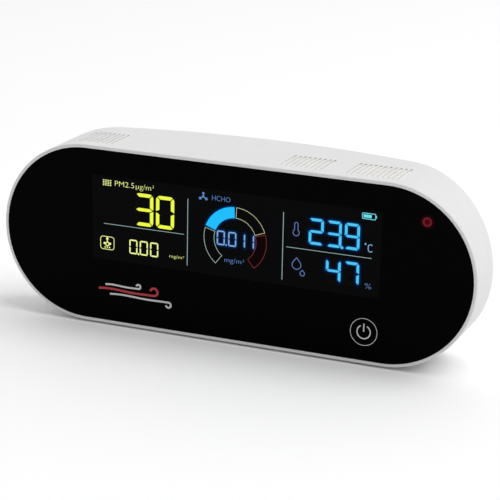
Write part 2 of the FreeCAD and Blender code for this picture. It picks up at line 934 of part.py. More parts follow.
def make_controller_chip():
    """Square chip with legs on all four sides."""
    x, rise = -22.0, 9.0
    half, thick, lift = 5.0, 1.4, 0.15
    count, pitch = 12, 0.8
    leg, leg_thick, reach = 0.3, 0.5, 1.0
    body = block(x - half, BOARD_BACK + lift, rise - half, 2 * half, thick, 2 * half)
    span = 2 * (half + reach)
    legs = []
    for i in range(count):
        shift = pitch * (i - (count - 1) / 2) - leg / 2
        legs.append(block(x + shift, BOARD_BACK, rise - half - reach, leg, leg_thick, span))
        legs.append(block(x - half - reach, BOARD_BACK, rise + shift, span, leg_thick, leg))
    subpart(fuse(body, *legs), "controller_chip")


def on_board(x, rise, width, thickness, height):
    """A block that stands on the back of the main board, from its low left corner."""
    return block(x, BOARD_BACK, rise, width, thickness, height)


def make_board_parts():
    """Small parts soldered to the back of the main board."""
    can_radius, can_length, can_rise = 3.2, 7.0, 18.0
    inductor = on_board(-6.0, 4.0, 7.0, 3.0, 7.0)
    crystal = on_board(-36.0, 16.0, 9.0, 2.0, 3.2)
    pieces = [rod(x, BOARD_BACK, can_rise, can_radius, can_length) for x in (-2.0, 6.0)]
    pieces += [inductor, crystal]
    small, large = (2.0, 0.9, 1.2), (3.0, 1.1, 1.6)
    # rows of chip parts: first x, rise, pitch, how many, size of each
    rows = ((-38.0, -1.0, 4.5, 7, small), (-12.0, 24.0, 3.0, 7, small), (56.0, -18.0, 5.0, 3, large))
    for first, rise, pitch, count, size in rows:
        pieces += [on_board(first + pitch * i, rise, *size) for i in range(count)]
    width, height = 8.0, 4.0
    for x, rise in (USB_SOCKET, SENSOR_SOCKET):
        left, bottom = x - width / 2, rise - height / 2
        pieces.append(on_board(left, bottom, width, SOCKET_THICKNESS, height))
    subpart(group(*pieces), "board_parts")


def make_buzzer():
    """Round sounder with a hole in the middle of its back."""
    hole_radius, hole_depth = 1.2, 1.5
    can = rod(S.buzzer_x, BOARD_BACK, S.buzzer_rise, S.buzzer_radius, S.buzzer_height)
    mouth = BOARD_BACK + S.buzzer_height - hole_depth
    hole = rod(S.buzzer_x, mouth, S.buzzer_rise, hole_radius, 2 * hole_depth)
    subpart(cut(can, hole), "buzzer")


def make_status_led():
    """Round-nosed lamp on two legs behind the indicator window."""
    x, rise = S.light_x, S.light_rise
    nose = ball(x, S.lamp_front, rise, S.lamp_radius)
    barrel = rod(x, S.lamp_front, rise, S.lamp_radius, S.flange_front - S.lamp_front + 0.2)
    flange = rod(x, S.flange_front, rise, S.flange_radius, S.flange_thickness)
    leg, spread = 0.5, 1.27
    start = S.flange_front + S.flange_thickness - 0.2
    legs = [
        block(x + side * spread - leg / 2, start, rise - leg / 2, leg, S.board_front - start, leg)
        for side in (-1, 1)
    ]
    subpart(fuse(nose, barrel, flange, *legs), "status_led")


def make_led_shroud():
    """Short dark tube that keeps the lamp's light off the rest of the panel."""
    outer = rod(S.light_x, PLATE_BACK, S.light_rise, S.shroud_outer, S.shroud_length)
    inner = rod(S.light_x, 0, S.light_rise, S.shroud_inner, S.body_depth)
    subpart(cut(outer, inner), "led_shroud")


def coil(radius, wire, pitch, turns):
    """Round wire wound about the Z axis from the origin upwards, with plain ends."""
    helix = Part.makeHelix(pitch, pitch * turns, radius)
    start = helix.Edges[0].valueAt(helix.Edges[0].FirstParameter)
    tangent = helix.Edges[0].tangentAt(helix.Edges[0].FirstParameter)
    section = Part.Wire([Part.makeCircle(wire / 2, start, tangent)])
    return Part.Wire(helix.Edges).makePipeShell([section], True, True)


def make_touch_spring():
    """Spring that carries the touch signal from the board to the back of the panel."""
    wire = float(S.spring_wire)
    front_gap, back_gap = 0.15, 0.15
    turns = 6
    start = float(S.lens_thickness) + front_gap + wire / 2
    end = float(S.board_front) - back_gap - wire / 2
    shape = coil(float(S.spring_radius), wire, (end - start) / turns, turns)
    shape.rotate(Vector(), Vector(1, 0, 0), -90)
    shape.translate(Vector(float(S.key_x), start, float(S.key_rise)))
    wire_piece("touch_spring", shape)


# ---------------------------------------------------------------- battery


def make_battery():
    """Round cell with a cap at its left end, in a holder with its contacts."""
    x, depth, rise = S.cell_left, S.cell_depth, S.cell_rise
    cap_radius, cap_stand = 2.8, 0.4
    can = rod(x, depth, rise, S.cell_radius, S.cell_length, "x")
    cap = rod(x - cap_stand, depth, rise, cap_radius, 1.0, "x")
    subpart(fuse(can, cap), "battery_cell")
    make_battery_holder()
    make_battery_contacts()


def make_battery_holder():
    """Open cradle: a base on the main board, two end walls and two low side walls."""
    side, end = 1.6, 1.8
    base_thickness, side_height, end_height = 2.2, 12.0, 17.0
    fit = 0.25
    left = HOLDER_LEFT - end
    length = HOLDER_RIGHT - HOLDER_LEFT + 2 * end
    half = S.cell_radius + fit
    low = S.cell_rise - half - side
    pieces = [block(left, BOARD_BACK, low, length, base_thickness, 2 * (half + side))]
    for rise in (low, S.cell_rise + half):
        pieces.append(block(left, BOARD_BACK, rise, length, side_height, side))
    for x in (left, HOLDER_RIGHT):
        pieces.append(block(x, BOARD_BACK, S.cell_rise - half, end, end_height, 2 * half))
    subpart(fuse(*pieces), "battery_holder")


def make_battery_contacts():
    """Flat contact at the cap end and a plate with a spring at the other."""
    plate, size = S.contact_thickness, S.contact_size
    depth = S.cell_depth - size / 2
    rise = S.cell_rise - size / 2
    contact_left = S.cell_left - S.contact_gap - plate
    subpart(block(contact_left, depth, rise, plate, size, size), "battery_contact")
    plate_left = HOLDER_RIGHT - plate - 0.02
    subpart(block(plate_left, depth, rise, plate, size, size), "battery_spring_plate")
    make_battery_spring(plate_left)


def make_battery_spring(plate_left):
    """Leaf spring: a strip bowed from the plate towards the end of the cell."""
    gap = 0.05
    start = S.cell_left + S.cell_length + gap
    front = S.cell_depth - S.leaf_width / 2
    centre = start + S.leaf_radius
    ring = cut(
        rod(centre, front, S.cell_rise, S.leaf_radius, S.leaf_width),
        rod(centre, 0, S.cell_rise, S.leaf_radius - S.leaf_thickness, S.body_depth),
    )
    reach = plate_left - gap - start
    bottom = S.cell_rise - S.leaf_radius
    window = block(start, front, bottom, reach, S.leaf_width, 2 * S.leaf_radius)
    subpart(common(ring, window), "battery_spring")


# ---------------------------------------------------------------- particle sensor


def pm_inside():
    """Low corner and size of the space inside the particle sensor's case."""
    wall = S.pm_wall
    corner = (S.pm_left + wall, S.pm_front + wall, S.pm_bottom + wall)
    size = (S.pm_width - 2 * wall, S.pm_thickness - 2 * wall, S.pm_height - 2 * wall)
    return corner, size


def make_pm_case():
    """Tray with an inlet grille and an outlet in its top wall and a scroll round the fan."""
    corner, size = pm_inside()
    outer = block(
        S.pm_left,
        S.pm_front,
        S.pm_bottom,
        S.pm_width,
        S.pm_thickness - S.pm_wall,
        S.pm_height,
    )
    hollow = block(*corner, size[0], S.pm_thickness, size[2])
    through = 2.0
    top = S.pm_bottom + S.pm_height - through
    # rows of slots in the top wall: offset of the first from the left, pitch, width
    slots = []
    for first, pitch, width in ((5.0, 3.0, 1.6), (27.0, 3.4, 2.2)):
        for i in range(5):
            x = S.pm_left + first + pitch * i
            slots.append(block(x, corner[1] + 2, top, width, 9.0, 2 * through))
    tray = cut(outer, hollow, *slots)
    scroll_gap, scroll_wall, scroll_length = 1.2, 0.8, 8.4
    inner = S.fan_radius + scroll_gap
    ring = cut(
        rod(S.fan_x, corner[1], S.fan_rise, inner + scroll_wall, scroll_length),
        rod(S.fan_x, 0, S.fan_rise, inner, S.body_depth),
        block(S.fan_x - 9, 0, S.fan_rise, 18, S.body_depth, 20),
    )
    subpart(fuse(tray, ring), "pm_sensor_case")


def make_pm_lid():
    """Flat lid with a hole that lets the fan breathe."""
    hole_radius = 3.0
    front = S.pm_front + S.pm_thickness - S.pm_wall
    plate = block(S.pm_left, front, S.pm_bottom, S.pm_width, S.pm_wall, S.pm_height)
    hole = rod(S.fan_x, 0, S.fan_rise, hole_radius, S.body_depth)
    subpart(cut(plate, hole), "pm_sensor_lid")


def make_pm_board():
    """Board under the lid, cut out round the fan's inlet."""
    gap, thickness, room_behind = 0.4, 1.0, 1.6
    eye_radius = 7.0
    corner, size = pm_inside()
    front = corner[1] + size[1] - room_behind - thickness
    plate = block(
        corner[0] + gap, front, corner[2] + gap, size[0] - 2 * gap, thickness, size[2] - 2 * gap
    )
    eye = rod(S.fan_x, 0, S.fan_rise, eye_radius, S.body_depth)
    subpart(cut(plate, eye), "pm_sensor_board")


def make_pm_optics():
    """Dark block with an upright air channel crossed by the laser's bore."""
    corner, _ = pm_inside()
    x, depth, rise = corner[0] + 1, corner[1] + 0.1, 2.0
    width, thick, tall = 17.0, 11.4, 26.0
    laser_radius = 3.0
    laser_depth, laser_rise = depth + 5.5, rise + 8
    solid = block(x, depth, rise, width, thick, tall)
    channel = block(x + 3.5, depth + 2, rise - 1, 6.0, 7.0, tall + 2)
    bore = rod(x + 6, laser_depth, laser_rise, laser_radius + 0.05, width, "x")
    seat = block(x + 4.4, depth + 8, laser_rise - 2.1, 4.2, 5.0, 4.2)
    subpart(cut(solid, channel, bore, seat), "pm_optics_block")
    barrel = rod(x + 10, laser_depth, laser_rise, laser_radius, 8.5, "x")
    nose = rod(x + 9.6, laser_depth, laser_rise, laser_radius / 2, 1.0, "x")
    subpart(fuse(barrel, nose), "pm_laser_module")
    chip = block(x + 4.5, depth + 9.2, laser_rise - 2, 4.0, 1.6, 4.0)
    subpart(chip, "pm_photodiode")


def make_fan_rotor():
    """Cup with curved blades round it; the motor stands inside the cup."""
    body = new_body("pm_fan_rotor")
    x, rise = S.fan_x, S.fan_rise
    front, length = S.fan_front, S.fan_length
    pad(body, front, length, circle(x, rise, S.hub_radius))
    pocket(body, front - 1, length, circle(x, rise, S.cup_radius))
    pocket(body, front, length + 1, circle(x, rise, S.fan_shaft_radius))
    blade = pad(body, front + 0.4, length - 0.8, blade_outline)
    pattern = body.newObject("PartDesign::PolarPattern", "PolarPattern")
    pattern.Originals = [blade]
    pattern.Axis = (fan_axis(body), ["V_Axis"])
    pattern.Angle = 360
    pattern.Occurrences = int(DIMENSIONS["fan_blades"])
    body.Tip = pattern


def fan_axis(body):
    """A sketch lying flat whose V axis is the fan's axis."""
    sketch = sketch_on(body, "XY_Plane", S.fan_rise)
    bind(sketch, AttachmentOffset__Base__x=S.fan_x)
    return sketch


def blade_outline(sketch):
    """One blade seen along the fan's axis: two arcs that lean back, closed by short ends."""
    x, rise = float(S.fan_x), float(S.fan_rise)
    inner, outer = float(S.hub_radius) - 0.4, float(S.fan_radius)
    thick = 0.7
    lean = math.radians(28)

    def point(radius, angle):
        return Vector(x + radius * math.cos(angle), rise + radius * math.sin(angle), 0)

    def side(shift):
        root = point(inner, shift / inner)
        belly = point((inner + outer) / 2, lean * 0.28 + shift / inner * 0.8)
        tip = point(outer, lean + shift / outer)
        return root, belly, tip

    low = side(-thick / 2)
    high = side(thick / 2)
    sketch.addGeometry(Part.Arc(*low))
    sketch.addGeometry(Part.LineSegment(low[2], high[2]))
    sketch.addGeometry(Part.Arc(high[2], high[1], high[0]))
    sketch.addGeometry(Part.LineSegment(high[0], low[0]))
    for i in range(4):
        sketch.addConstraint(Sketcher.Constraint("Block", i))


def make_fan_rest():
    """The fan's shaft, which turns with the rotor, and the motor that carries it."""
    x, rise = S.fan_x, S.fan_rise
    back = S.fan_front + S.fan_length
    shaft_length, shaft_sink = 7.0, 0.2
    shaft_front = back - shaft_sink - shaft_length
    subpart(rod(x, shaft_front, rise, S.fan_shaft_radius, shaft_length), "pm_fan_shaft")
    base_radius, base_thickness = 4.6, 1.6
    winding_radius, winding_gap = 3.9, 1.6
    bore_start = 0.6
    floor = S.pm_front + S.pm_wall
    base = rod(x, floor, rise, base_radius, base_thickness)
    winding = rod(x, floor, rise, winding_radius, back - winding_gap - floor)
    bore = rod(x, floor + bore_start, rise, S.fan_bore_radius, S.body_depth)
    subpart(cut(fuse(base, winding), bore), "pm_fan_motor")


def make_pm_mounting():
    """Foam that holds the sensor to the board and foam that seals it to the vents."""
    edge, above_bottom, height = 3.0, 9.0, 22.0
    thick = S.pm_front - BOARD_BACK
    width = S.pm_width - 2 * edge
    tape = block(S.pm_left + edge, BOARD_BACK, S.pm_bottom + above_bottom, width, thick, height)
    subpart(tape, "pm_sensor_tape")
    gap = 0.1
    bottom = S.pm_bottom + S.pm_height
    tall = INNER_RADIUS - gap - bottom
    frame = block(S.pm_left + 1, S.pm_front + 0.5, bottom, S.pm_width - 2.5, 14.0, tall)
    # air passages through the seal: offset from the sensor's left side, width
    passages = [
        block(S.pm_left + start, S.pm_front + 2, bottom - 1, width, 11.0, tall + 2)
        for start, width in ((3.5, 17.0), (25.0, 19.0))
    ]
    subpart(cut(frame, *passages), "pm_sensor_seal")


# ---------------------------------------------------------------- cables


def tube(points, radius):
    """Round tube along straight runs joined by tangent arcs as large as the runs allow."""
    points = [Vector(*p) for p in points]
    edges = []
    cursor = points[0]
    for before, corner, after in zip(points, points[1:], points[2:]):
        arrive = (corner - before).normalize()
        leave = (after - corner).normalize()
        turn = arrive.getAngle(leave)
        setback = 0.45 * min((corner - before).Length, (after - corner).Length)
        bend = setback / math.tan(turn / 2)
        start = corner - arrive * setback
        end = corner + leave * setback
        middle_way = (leave - arrive).normalize()
        centre = corner + middle_way * (bend / math.cos(turn / 2))
        halfway = centre - middle_way * bend
        edges.append(Part.LineSegment(cursor, start).toShape())
        edges.append(Part.Arc(start, halfway, end).toShape())
        cursor = end
    edges.append(Part.LineSegment(cursor, points[-1]).toShape())
    path = Part.Wire(edges)
    direction = (points[1] - points[0]).normalize()
    section = Part.Wire([Part.makeCircle(radius, points[0], direction)])
    return path.makePipeShell([section], True, True)


def make_cables():
    """Leads from the particle sensor and from the charging board to the main board."""
    lead = 0.8
    socket_back = float(BOARD_BACK) + SOCKET_THICKNESS
    x, rise = SENSOR_SOCKET
    width, thick, tall = 10.0, 4.0, 3.0
    depth = 22.0
    bottom = float(S.pm_bottom) - tall
    subpart(block(x - width / 2, depth - thick / 2, bottom, width, thick, tall), "pm_plug")
    route = [(x, depth, bottom), (x, depth, rise), (x, socket_back, rise)]
    wire_piece("pm_cable", tube(route, lead))
    x, rise = USB_SOCKET
    width, thick, tall = 6.0, 3.6, 3.4
    depth = 22.2
    bottom = float(S.usb_rise - S.usb_height / 2)
    subpart(block(x - width / 2, depth - thick / 2, bottom, width, thick, tall), "usb_plug")
    route = [(x, depth, bottom + tall), (x, depth, rise), (x, socket_back, rise)]
    wire_piece("usb_cable", tube(route, lead))


# ---------------------------------------------------------------- gas and climate sensors


def make_gas_sensors():
    """Upright board with a formaldehyde cell, a gas sensor and a climate sensor on it."""
    plate = block(
        S.gas_left, S.gas_front, S.gas_bottom, S.gas_width, S.gas_thickness, S.gas_height
    )
    subpart(plate, "gas_sensor_board")
    header = block(-66.0, BOARD_BACK, 4.0, 15.0, S.gas_front - BOARD_BACK, 2.5)
    subpart(header, "gas_sensor_header")
    back = S.gas_front + S.gas_thickness
    x, rise, tall, step = -62.0, 18.5, 7.5, 0.8
    can = fuse(rod(x, back, rise, 8.8, tall), rod(x, back + tall, rise, 7.6, step))
    mouth = rod(x, back + tall - 1, rise, 3.0, 4)
    subpart(cut(can, mouth), "hcho_sensor")
    x, rise, tall, rim = -48.5, 22.5, 5.0, 0.8
    can = fuse(rod(x, back, rise, 3.9, tall), rod(x, back, rise, 4.4, rim))
    mouth = rod(x, back + tall - 0.8, rise, 2.6, 2)
    subpart(cut(can, mouth), "tvoc_sensor")
    x, rise, side, tall = -48.5, 11.5, 3.0, 1.0
    chip = block(x - side / 2, back, rise - side / 2, side, tall, side)
    window = rod(x, back + tall - 0.3, rise, 0.7, 1.0)
    subpart(cut(chip, window), "climate_sensor")


# ---------------------------------------------------------------- charging port


def make_usb():
    """Small board on the two posts, with the charging port at its back edge."""
    front, length, half_width = 18.0, 19.4, 11.0
    bottom = S.usb_rise - S.usb_height / 2
    thickness = S.usb_board_thickness
    plate = block(
        S.usb_x - half_width, front, bottom - thickness, 2 * half_width, length, thickness
    )
    holes = [
        rod(x, depth, bottom - 4, CLEAR_HOLE, 8, "z") for x, depth in usb_posts()
    ]
    subpart(cut(plate, *holes), "usb_board")
    make_usb_port()


def make_usb_port():
    """Receptacle: a round-sided metal tube closed at its inner end, with a tongue inside."""
    skin, end_wall = 0.3, 1.0
    tongue_half, tongue_thickness, tongue_inset = 3.3, 0.7, 0.7
    radius = S.usb_height / 2
    half = S.usb_width / 2 - radius
    start = S.usb_mouth - S.usb_length
    body = new_body("usb_port")
    pad(body, start, S.usb_length, stadium(S.usb_x, S.usb_rise, half, radius))
    mouth = stadium(S.usb_x, S.usb_rise, half, radius - skin)
    pocket(body, start + end_wall, S.usb_length, mouth)
    tongue = rectangle(
        S.usb_x - tongue_half,
        S.usb_rise - tongue_thickness / 2,
        S.usb_x + tongue_half,
        S.usb_rise + tongue_thickness / 2,
    )
    root = end_wall / 2
    pad(body, start + root, S.usb_length - root - tongue_inset, tongue)


# ---------------------------------------------------------------- screws


def screw(x, depth, rise, length, axis="y"):
    """Pan-head cross-recess screw: its head sits behind the seat, its shank runs from it."""
    wide, long = S.cross_width, S.cross_length
    inside = S.head_height - S.cross_depth
    root = 0.5
    if axis == "y":
        shank = rod(x, depth - length, rise, S.shank_radius, length + root)
        head = rod(x, depth, rise, S.head_radius, S.head_height)
        bars = [
            block(x - wide / 2, depth + inside, rise - long / 2, wide, S.head_height, long),
            block(x - long / 2, depth + inside, rise - wide / 2, long, S.head_height, wide),
        ]
    else:
        shank = rod(x, depth, rise - length, S.shank_radius, length + root, "z")
        head = rod(x, depth, rise, S.head_radius, S.head_height, "z")
        bars = [
            block(x - wide / 2, depth - long / 2, rise + inside, wide, long, S.head_height),
            block(x - long / 2, depth - wide / 2, rise + inside, long, wide, S.head_height),
        ]
    return cut(fuse(shank, head), *bars)


def make_screws():
    """Each set of like screws is one piece."""
    cover = [
        screw(x, front + S.seat_thickness, rise, S.cover_screw)
        for spots, front in ((END_BOSSES, S.end_boss_end), (MID_BOSSES, S.mid_boss_end))
        for x, rise in spots
    ]
    subpart(group(*cover), "cover_screws")
    board = [screw(x, BOARD_BACK, as_size(rise), S.board_screw) for x, rise in BOARD_BOSSES]
    subpart(group(*board), "board_screws")
    frame = [screw(x, S.tab_back, rise, S.frame_screw) for x, rise in tab_spots()]
    subpart(group(*frame), "frame_screws")
    top = S.usb_rise - S.usb_height / 2
    usb = [screw(x, depth, top, S.usb_screw, "z") for x, depth in usb_posts()]
    subpart(group(*usb), "usb_board_screws")


# ---------------------------------------------------------------- build and write


def build():
    make_shell()
    make_back_cover()
    make_front_lens()
    make_lens_tape()
    make_foot_pads()
    for label, first, count in VENT_GROUPS:
        make_vent_screen(label, first, count)
    make_lcd_frame()
    make_display()
    make_lcd_pins()
    make_main_board()
    make_controller_chip()
    make_board_parts()
    make_buzzer()
    make_status_led()
    make_led_shroud()
    make_touch_spring()
    make_battery()
    make_pm_case()
    make_pm_lid()
    make_pm_board()
    make_pm_optics()
    make_fan_rotor()
    make_fan_rest()
    make_pm_mounting()
    make_cables()
    make_gas_sensors()
    make_usb()
    make_screws()


def check():
    """Stop if any object failed or any piece is empty or invalid."""
    doc.recompute()
    for obj in doc.Objects:
        if "Invalid" in obj.State or "Error" in obj.State:
            raise RuntimeError(f"{obj.Name} ({obj.Label}) failed: {obj.State}")
    for label, obj in SUBPARTS.items():
        if obj.Shape.isNull() or not obj.Shape.isValid() or not obj.Shape.Solids:
            raise RuntimeError(f"{label} has no valid solid")


def write():
    os.makedirs("parts", exist_ok=True)
    for label, obj in SUBPARTS.items():
        obj.Shape.exportStep(f"parts/{label}.step")
        box = obj.Shape.optimalBoundingBox()
        print(f"{label:22s} solids {len(obj.Shape.Solids):3d}  volume {obj.Shape.Volume:10.1f}"
              f"  x {box.XMin:7.2f} {box.XMax:7.2f}  y {box.YMin:7.2f} {box.YMax:7.2f}"
              f"  z {box.ZMin:6.2f} {box.ZMax:6.2f}")
    print(len(SUBPARTS), "pieces")


build()
check()
write()
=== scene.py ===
import math

import bmesh
import bpy
from mathutils import Matrix, Vector
from mathutils.geometry import delaunay_2d_cdt


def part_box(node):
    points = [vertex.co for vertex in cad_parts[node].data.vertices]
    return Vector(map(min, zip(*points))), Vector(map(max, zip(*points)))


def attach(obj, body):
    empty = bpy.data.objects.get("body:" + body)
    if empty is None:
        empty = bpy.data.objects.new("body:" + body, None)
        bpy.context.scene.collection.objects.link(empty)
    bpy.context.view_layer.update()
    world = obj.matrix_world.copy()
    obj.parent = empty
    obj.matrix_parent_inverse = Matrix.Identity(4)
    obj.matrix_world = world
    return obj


# Looks of the air quality monitor. The CAD nodes keep their shapes and get finished materials; what
# the display shows, the printed marks and the stage are made here.

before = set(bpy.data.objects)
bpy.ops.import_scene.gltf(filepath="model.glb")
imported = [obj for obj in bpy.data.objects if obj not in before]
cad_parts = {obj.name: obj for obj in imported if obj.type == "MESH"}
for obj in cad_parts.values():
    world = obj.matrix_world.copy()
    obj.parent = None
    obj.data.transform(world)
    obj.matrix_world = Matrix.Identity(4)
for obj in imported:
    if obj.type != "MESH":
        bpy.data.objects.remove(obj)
bpy.context.view_layer.update()

MM = 0.001

# The middle of the front panel's face: display places are millimetres right of it and above it.
LENS_LOW, LENS_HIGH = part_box("front_lens")
FACE = Vector(((LENS_LOW.x + LENS_HIGH.x) / 2, LENS_LOW.y, (LENS_LOW.z + LENS_HIGH.z) / 2))

# ---------------------------------------------------------------- camera

CAMERA_LENS = 141.65
CAMERA_SENSOR = 36.0
CAMERA_NEAREST = 0.01
CAMERA_TURN = math.radians(22.22)
CAMERA_TILT = math.radians(-17.03)
CAMERA_ROLL = math.radians(1.20)
# from the middle of the face: right, up and back as the camera sees them, in millimetres
CAMERA_PLACE = Vector((7.83, 1.53, 784.14))


def make_camera():
    data = bpy.data.cameras.new("camera")
    data.lens = CAMERA_LENS
    data.sensor_width = CAMERA_SENSOR
    data.clip_start = CAMERA_NEAREST
    camera = bpy.data.objects.new("camera", data)
    bpy.context.scene.collection.objects.link(camera)
    upright = Matrix.Rotation(math.pi / 2, 3, "X")
    turn = Matrix.Rotation(CAMERA_TURN, 3, "Y")
    tilt = Matrix.Rotation(CAMERA_TILT, 3, "X")
    roll = Matrix.Rotation(CAMERA_ROLL, 3, "Z")
    rotation = upright @ turn @ tilt @ roll
    place = FACE + rotation @ (CAMERA_PLACE * MM)
    camera.matrix_world = Matrix.Translation(place) @ rotation.to_4x4()
    bpy.context.scene.camera = camera


make_camera()

# ---------------------------------------------------------------- materials

# the colour sockets of a Mix node, which share their names with its other kinds of sockets
MIX_FACTOR, MIX_FIRST, MIX_SECOND, MIX_RESULT = 0, 6, 7, 2
# the length in metres over which a wave texture of scale 1 repeats
WAVE_LENGTH = math.pi / 10
BEVEL_SAMPLES = 4
# how well the rounded and the flat normal agree: away from any edge, and right on one
EDGE_AGREEMENT = (0.98, 0.80)


def linear(red, green, blue):
    """A colour given in screen values, 0 to 255, as linear values by the sRGB curve."""

    def channel(value):
        value = value / 255.0
        return value / 12.92 if value <= 0.04045 else ((value + 0.055) / 1.055) ** 2.4

    return (channel(red), channel(green), channel(blue))


class Surface:
    """A Principled material; each method adds one kind of procedural detail to it."""

    def __init__(self, name, colour, roughness, metallic=0.0, ior=1.45):
        self.material = bpy.data.materials.new(name)
        self.material.use_nodes = True
        self.nodes = self.material.node_tree.nodes
        self.links = self.material.node_tree.links
        self.shader = self.nodes["Principled BSDF"]
        self.colour = colour
        self.roughness = roughness
        self.shader.inputs["Base Color"].default_value = (*colour, 1.0)
        self.shader.inputs["Roughness"].default_value = roughness
        self.shader.inputs["Metallic"].default_value = metallic
        self.shader.inputs["IOR"].default_value = ior
        self.place = self.nodes.new("ShaderNodeTexCoord").outputs["Object"]
        self.normal = None

    def set(self, **values):
        """Put plain values on the shader's own sockets; _ in a name stands for a space."""
        for name, value in values.items():
            self.shader.inputs[name.replace("_", " ")].default_value = value
        return self

    def stretched(self, stretch):
        """Object coordinates scaled along each axis."""
        mapping = self.nodes.new("ShaderNodeMapping")
        mapping.inputs["Scale"].default_value = stretch
        self.links.new(self.place, mapping.inputs["Vector"])
        return mapping.outputs["Vector"]

    def noise(self, size, detail=3.0, stretch=(1.0, 1.0, 1.0)):
        """Soft random variation with features of that size in millimetres, about 0 to 1."""
        node = self.nodes.new("ShaderNodeTexNoise")
        node.inputs["Scale"].default_value = 1.0 / (size * MM)
        node.inputs["Detail"].default_value = detail
        self.links.new(self.stretched(stretch), node.inputs["Vector"])
        return node.outputs["Fac"]

    def cells(self, size):
        """Distance to the nearest of scattered points that far apart in millimetres."""
        node = self.nodes.new("ShaderNodeTexVoronoi")
        node.inputs["Scale"].default_value = 1.0 / (size * MM)
        self.links.new(self.place, node.inputs["Vector"])
        return node.outputs["Distance"]

    def bands(self, pitch, axis):
        """Even ridges that repeat along one axis at that pitch in millimetres."""
        node = self.nodes.new("ShaderNodeTexWave")
        node.bands_direction = axis
        node.inputs["Scale"].default_value = WAVE_LENGTH / (pitch * MM)
        node.inputs["Distortion"].default_value = 0.0
        self.links.new(self.place, node.inputs["Vector"])
        return node.outputs["Fac"]

    def combine(self, operation, first, second):
        """Two values put through one Math operation."""
        node = self.nodes.new("ShaderNodeMath")
        node.operation = operation
        self.links.new(first, node.inputs[0])
        self.links.new(second, node.inputs[1])
        return node.outputs[0]

    def remap(self, value, low, high, to_low=0.0, to_high=1.0):
        """Stretch the range low to high onto another range, with both ends held."""
        node = self.nodes.new("ShaderNodeMapRange")
        node.inputs["From Min"].default_value = low
        node.inputs["From Max"].default_value = high
        node.inputs["To Min"].default_value = to_low
        node.inputs["To Max"].default_value = to_high
        self.links.new(value, node.inputs["Value"])
        return node.outputs["Result"]

    def edges(self, radius):
        """1 on the edges that a rounding of that radius in millimetres would touch, else 0."""
        bevel = self.nodes.new("ShaderNodeBevel")
        bevel.samples = BEVEL_SAMPLES
        bevel.inputs["Radius"].default_value = radius * MM
        plain = self.nodes.new("ShaderNodeNewGeometry")
        match = self.nodes.new("ShaderNodeVectorMath")
        match.operation = "DOT_PRODUCT"
        self.links.new(bevel.outputs["Normal"], match.inputs[0])
        self.links.new(plain.outputs["Normal"], match.inputs[1])
        return self.remap(match.outputs["Value"], *EDGE_AGREEMENT)

    def tint(self, mask, colour, strength=1.0):
        """Mix another colour over the present one where the mask is 1."""
        mix = self.nodes.new("ShaderNodeMix")
        mix.data_type = "RGBA"
        socket = self.shader.inputs["Base Color"]
        if socket.is_linked:
            self.links.new(socket.links[0].from_socket, mix.inputs[MIX_FIRST])
        else:
            mix.inputs[MIX_FIRST].default_value = (*self.colour, 1.0)
        mix.inputs[MIX_SECOND].default_value = (*colour, 1.0)
        self.links.new(self.remap(mask, 0.0, 1.0, 0.0, strength), mix.inputs[MIX_FACTOR])
        self.links.new(mix.outputs[MIX_RESULT], socket)
        return self

    def mottle(self, size, spread, detail=3.0, stretch=(1.0, 1.0, 1.0)):
        """Let the colour drift between a little darker and a little lighter."""
        drift = self.noise(size, detail, stretch)
        darker = tuple(c * (1 - 2 * spread) for c in self.colour)
        return self.tint(self.remap(drift, 0.7, 0.3), darker)

    def gloss(self, mask, low, high):
        """Roughness low where the mask is 0 and high where it is 1."""
        self.links.new(self.remap(mask, 0.25, 0.75, low, high), self.shader.inputs["Roughness"])
        return self

    def relief(self, mask, height):
        """Bump of that height in millimetres, over any bump already there."""
        bump = self.nodes.new("ShaderNodeBump")
        bump.inputs["Strength"].default_value = 1.0
        bump.inputs["Distance"].default_value = height * MM
        self.links.new(mask, bump.inputs["Height"])
        if self.normal is not None:
            self.links.new(self.normal, bump.inputs["Normal"])
        self.normal = bump.outputs["Normal"]
        self.links.new(self.normal, self.shader.inputs["Normal"])
        return self

    def soften(self, radius):
        """Shade sharp edges as if they had that radius in millimetres; comes before relief."""
        bevel = self.nodes.new("ShaderNodeBevel")
        bevel.samples = BEVEL_SAMPLES
        bevel.inputs["Radius"].default_value = radius * MM
        self.normal = bevel.outputs["Normal"]
        self.links.new(self.normal, self.shader.inputs["Normal"])
        return self


def brighter(colour, times=1.0, plus=0.0):
    return tuple(min(1.0, c * times + plus) for c in colour)


def moulded(name, colour, roughness, grain, depth, edge=0.15):
    """Moulded plastic: spark-eroded grain, uneven sheen, and a painted highlight that lightens the
    edges.
    """
    made = Surface(name, colour, roughness)
    made.soften(edge)
    made.mottle(9.0, 0.012)
    made.gloss(made.noise(4.0, 4.0), roughness - 0.05, roughness + 0.05)
    made.relief(made.noise(grain, 2.0), depth)
    # painted highlight: the edges are painted lighter, as if they caught the light
    made.tint(made.edges(2 * edge), brighter(colour, plus=0.06), 0.5)
    return made


def shell_white():
    """Satin white ABS with a very fine grain and a slight flow pattern."""
    white = (0.69, 0.69, 0.698)
    made = moulded("shell_white", white, roughness=0.42, grain=0.30, depth=0.003, edge=0.12)
    flow = made.noise(38.0, 2.0, (1.0, 2.5, 1.0))
    made.tint(made.remap(flow, 0.35, 0.65), (0.676, 0.673, 0.664), 0.6)
    return made


# low, so that the panel shows as little of the pale studio as the photographed one does
PANEL_IOR = 1.08
PANEL_TONE = (0.0002, 0.0002, 0.0005)
PANEL_ROUGHNESS = 0.035
WINDOW_TONE = (0.0022, 0.0023, 0.0028)


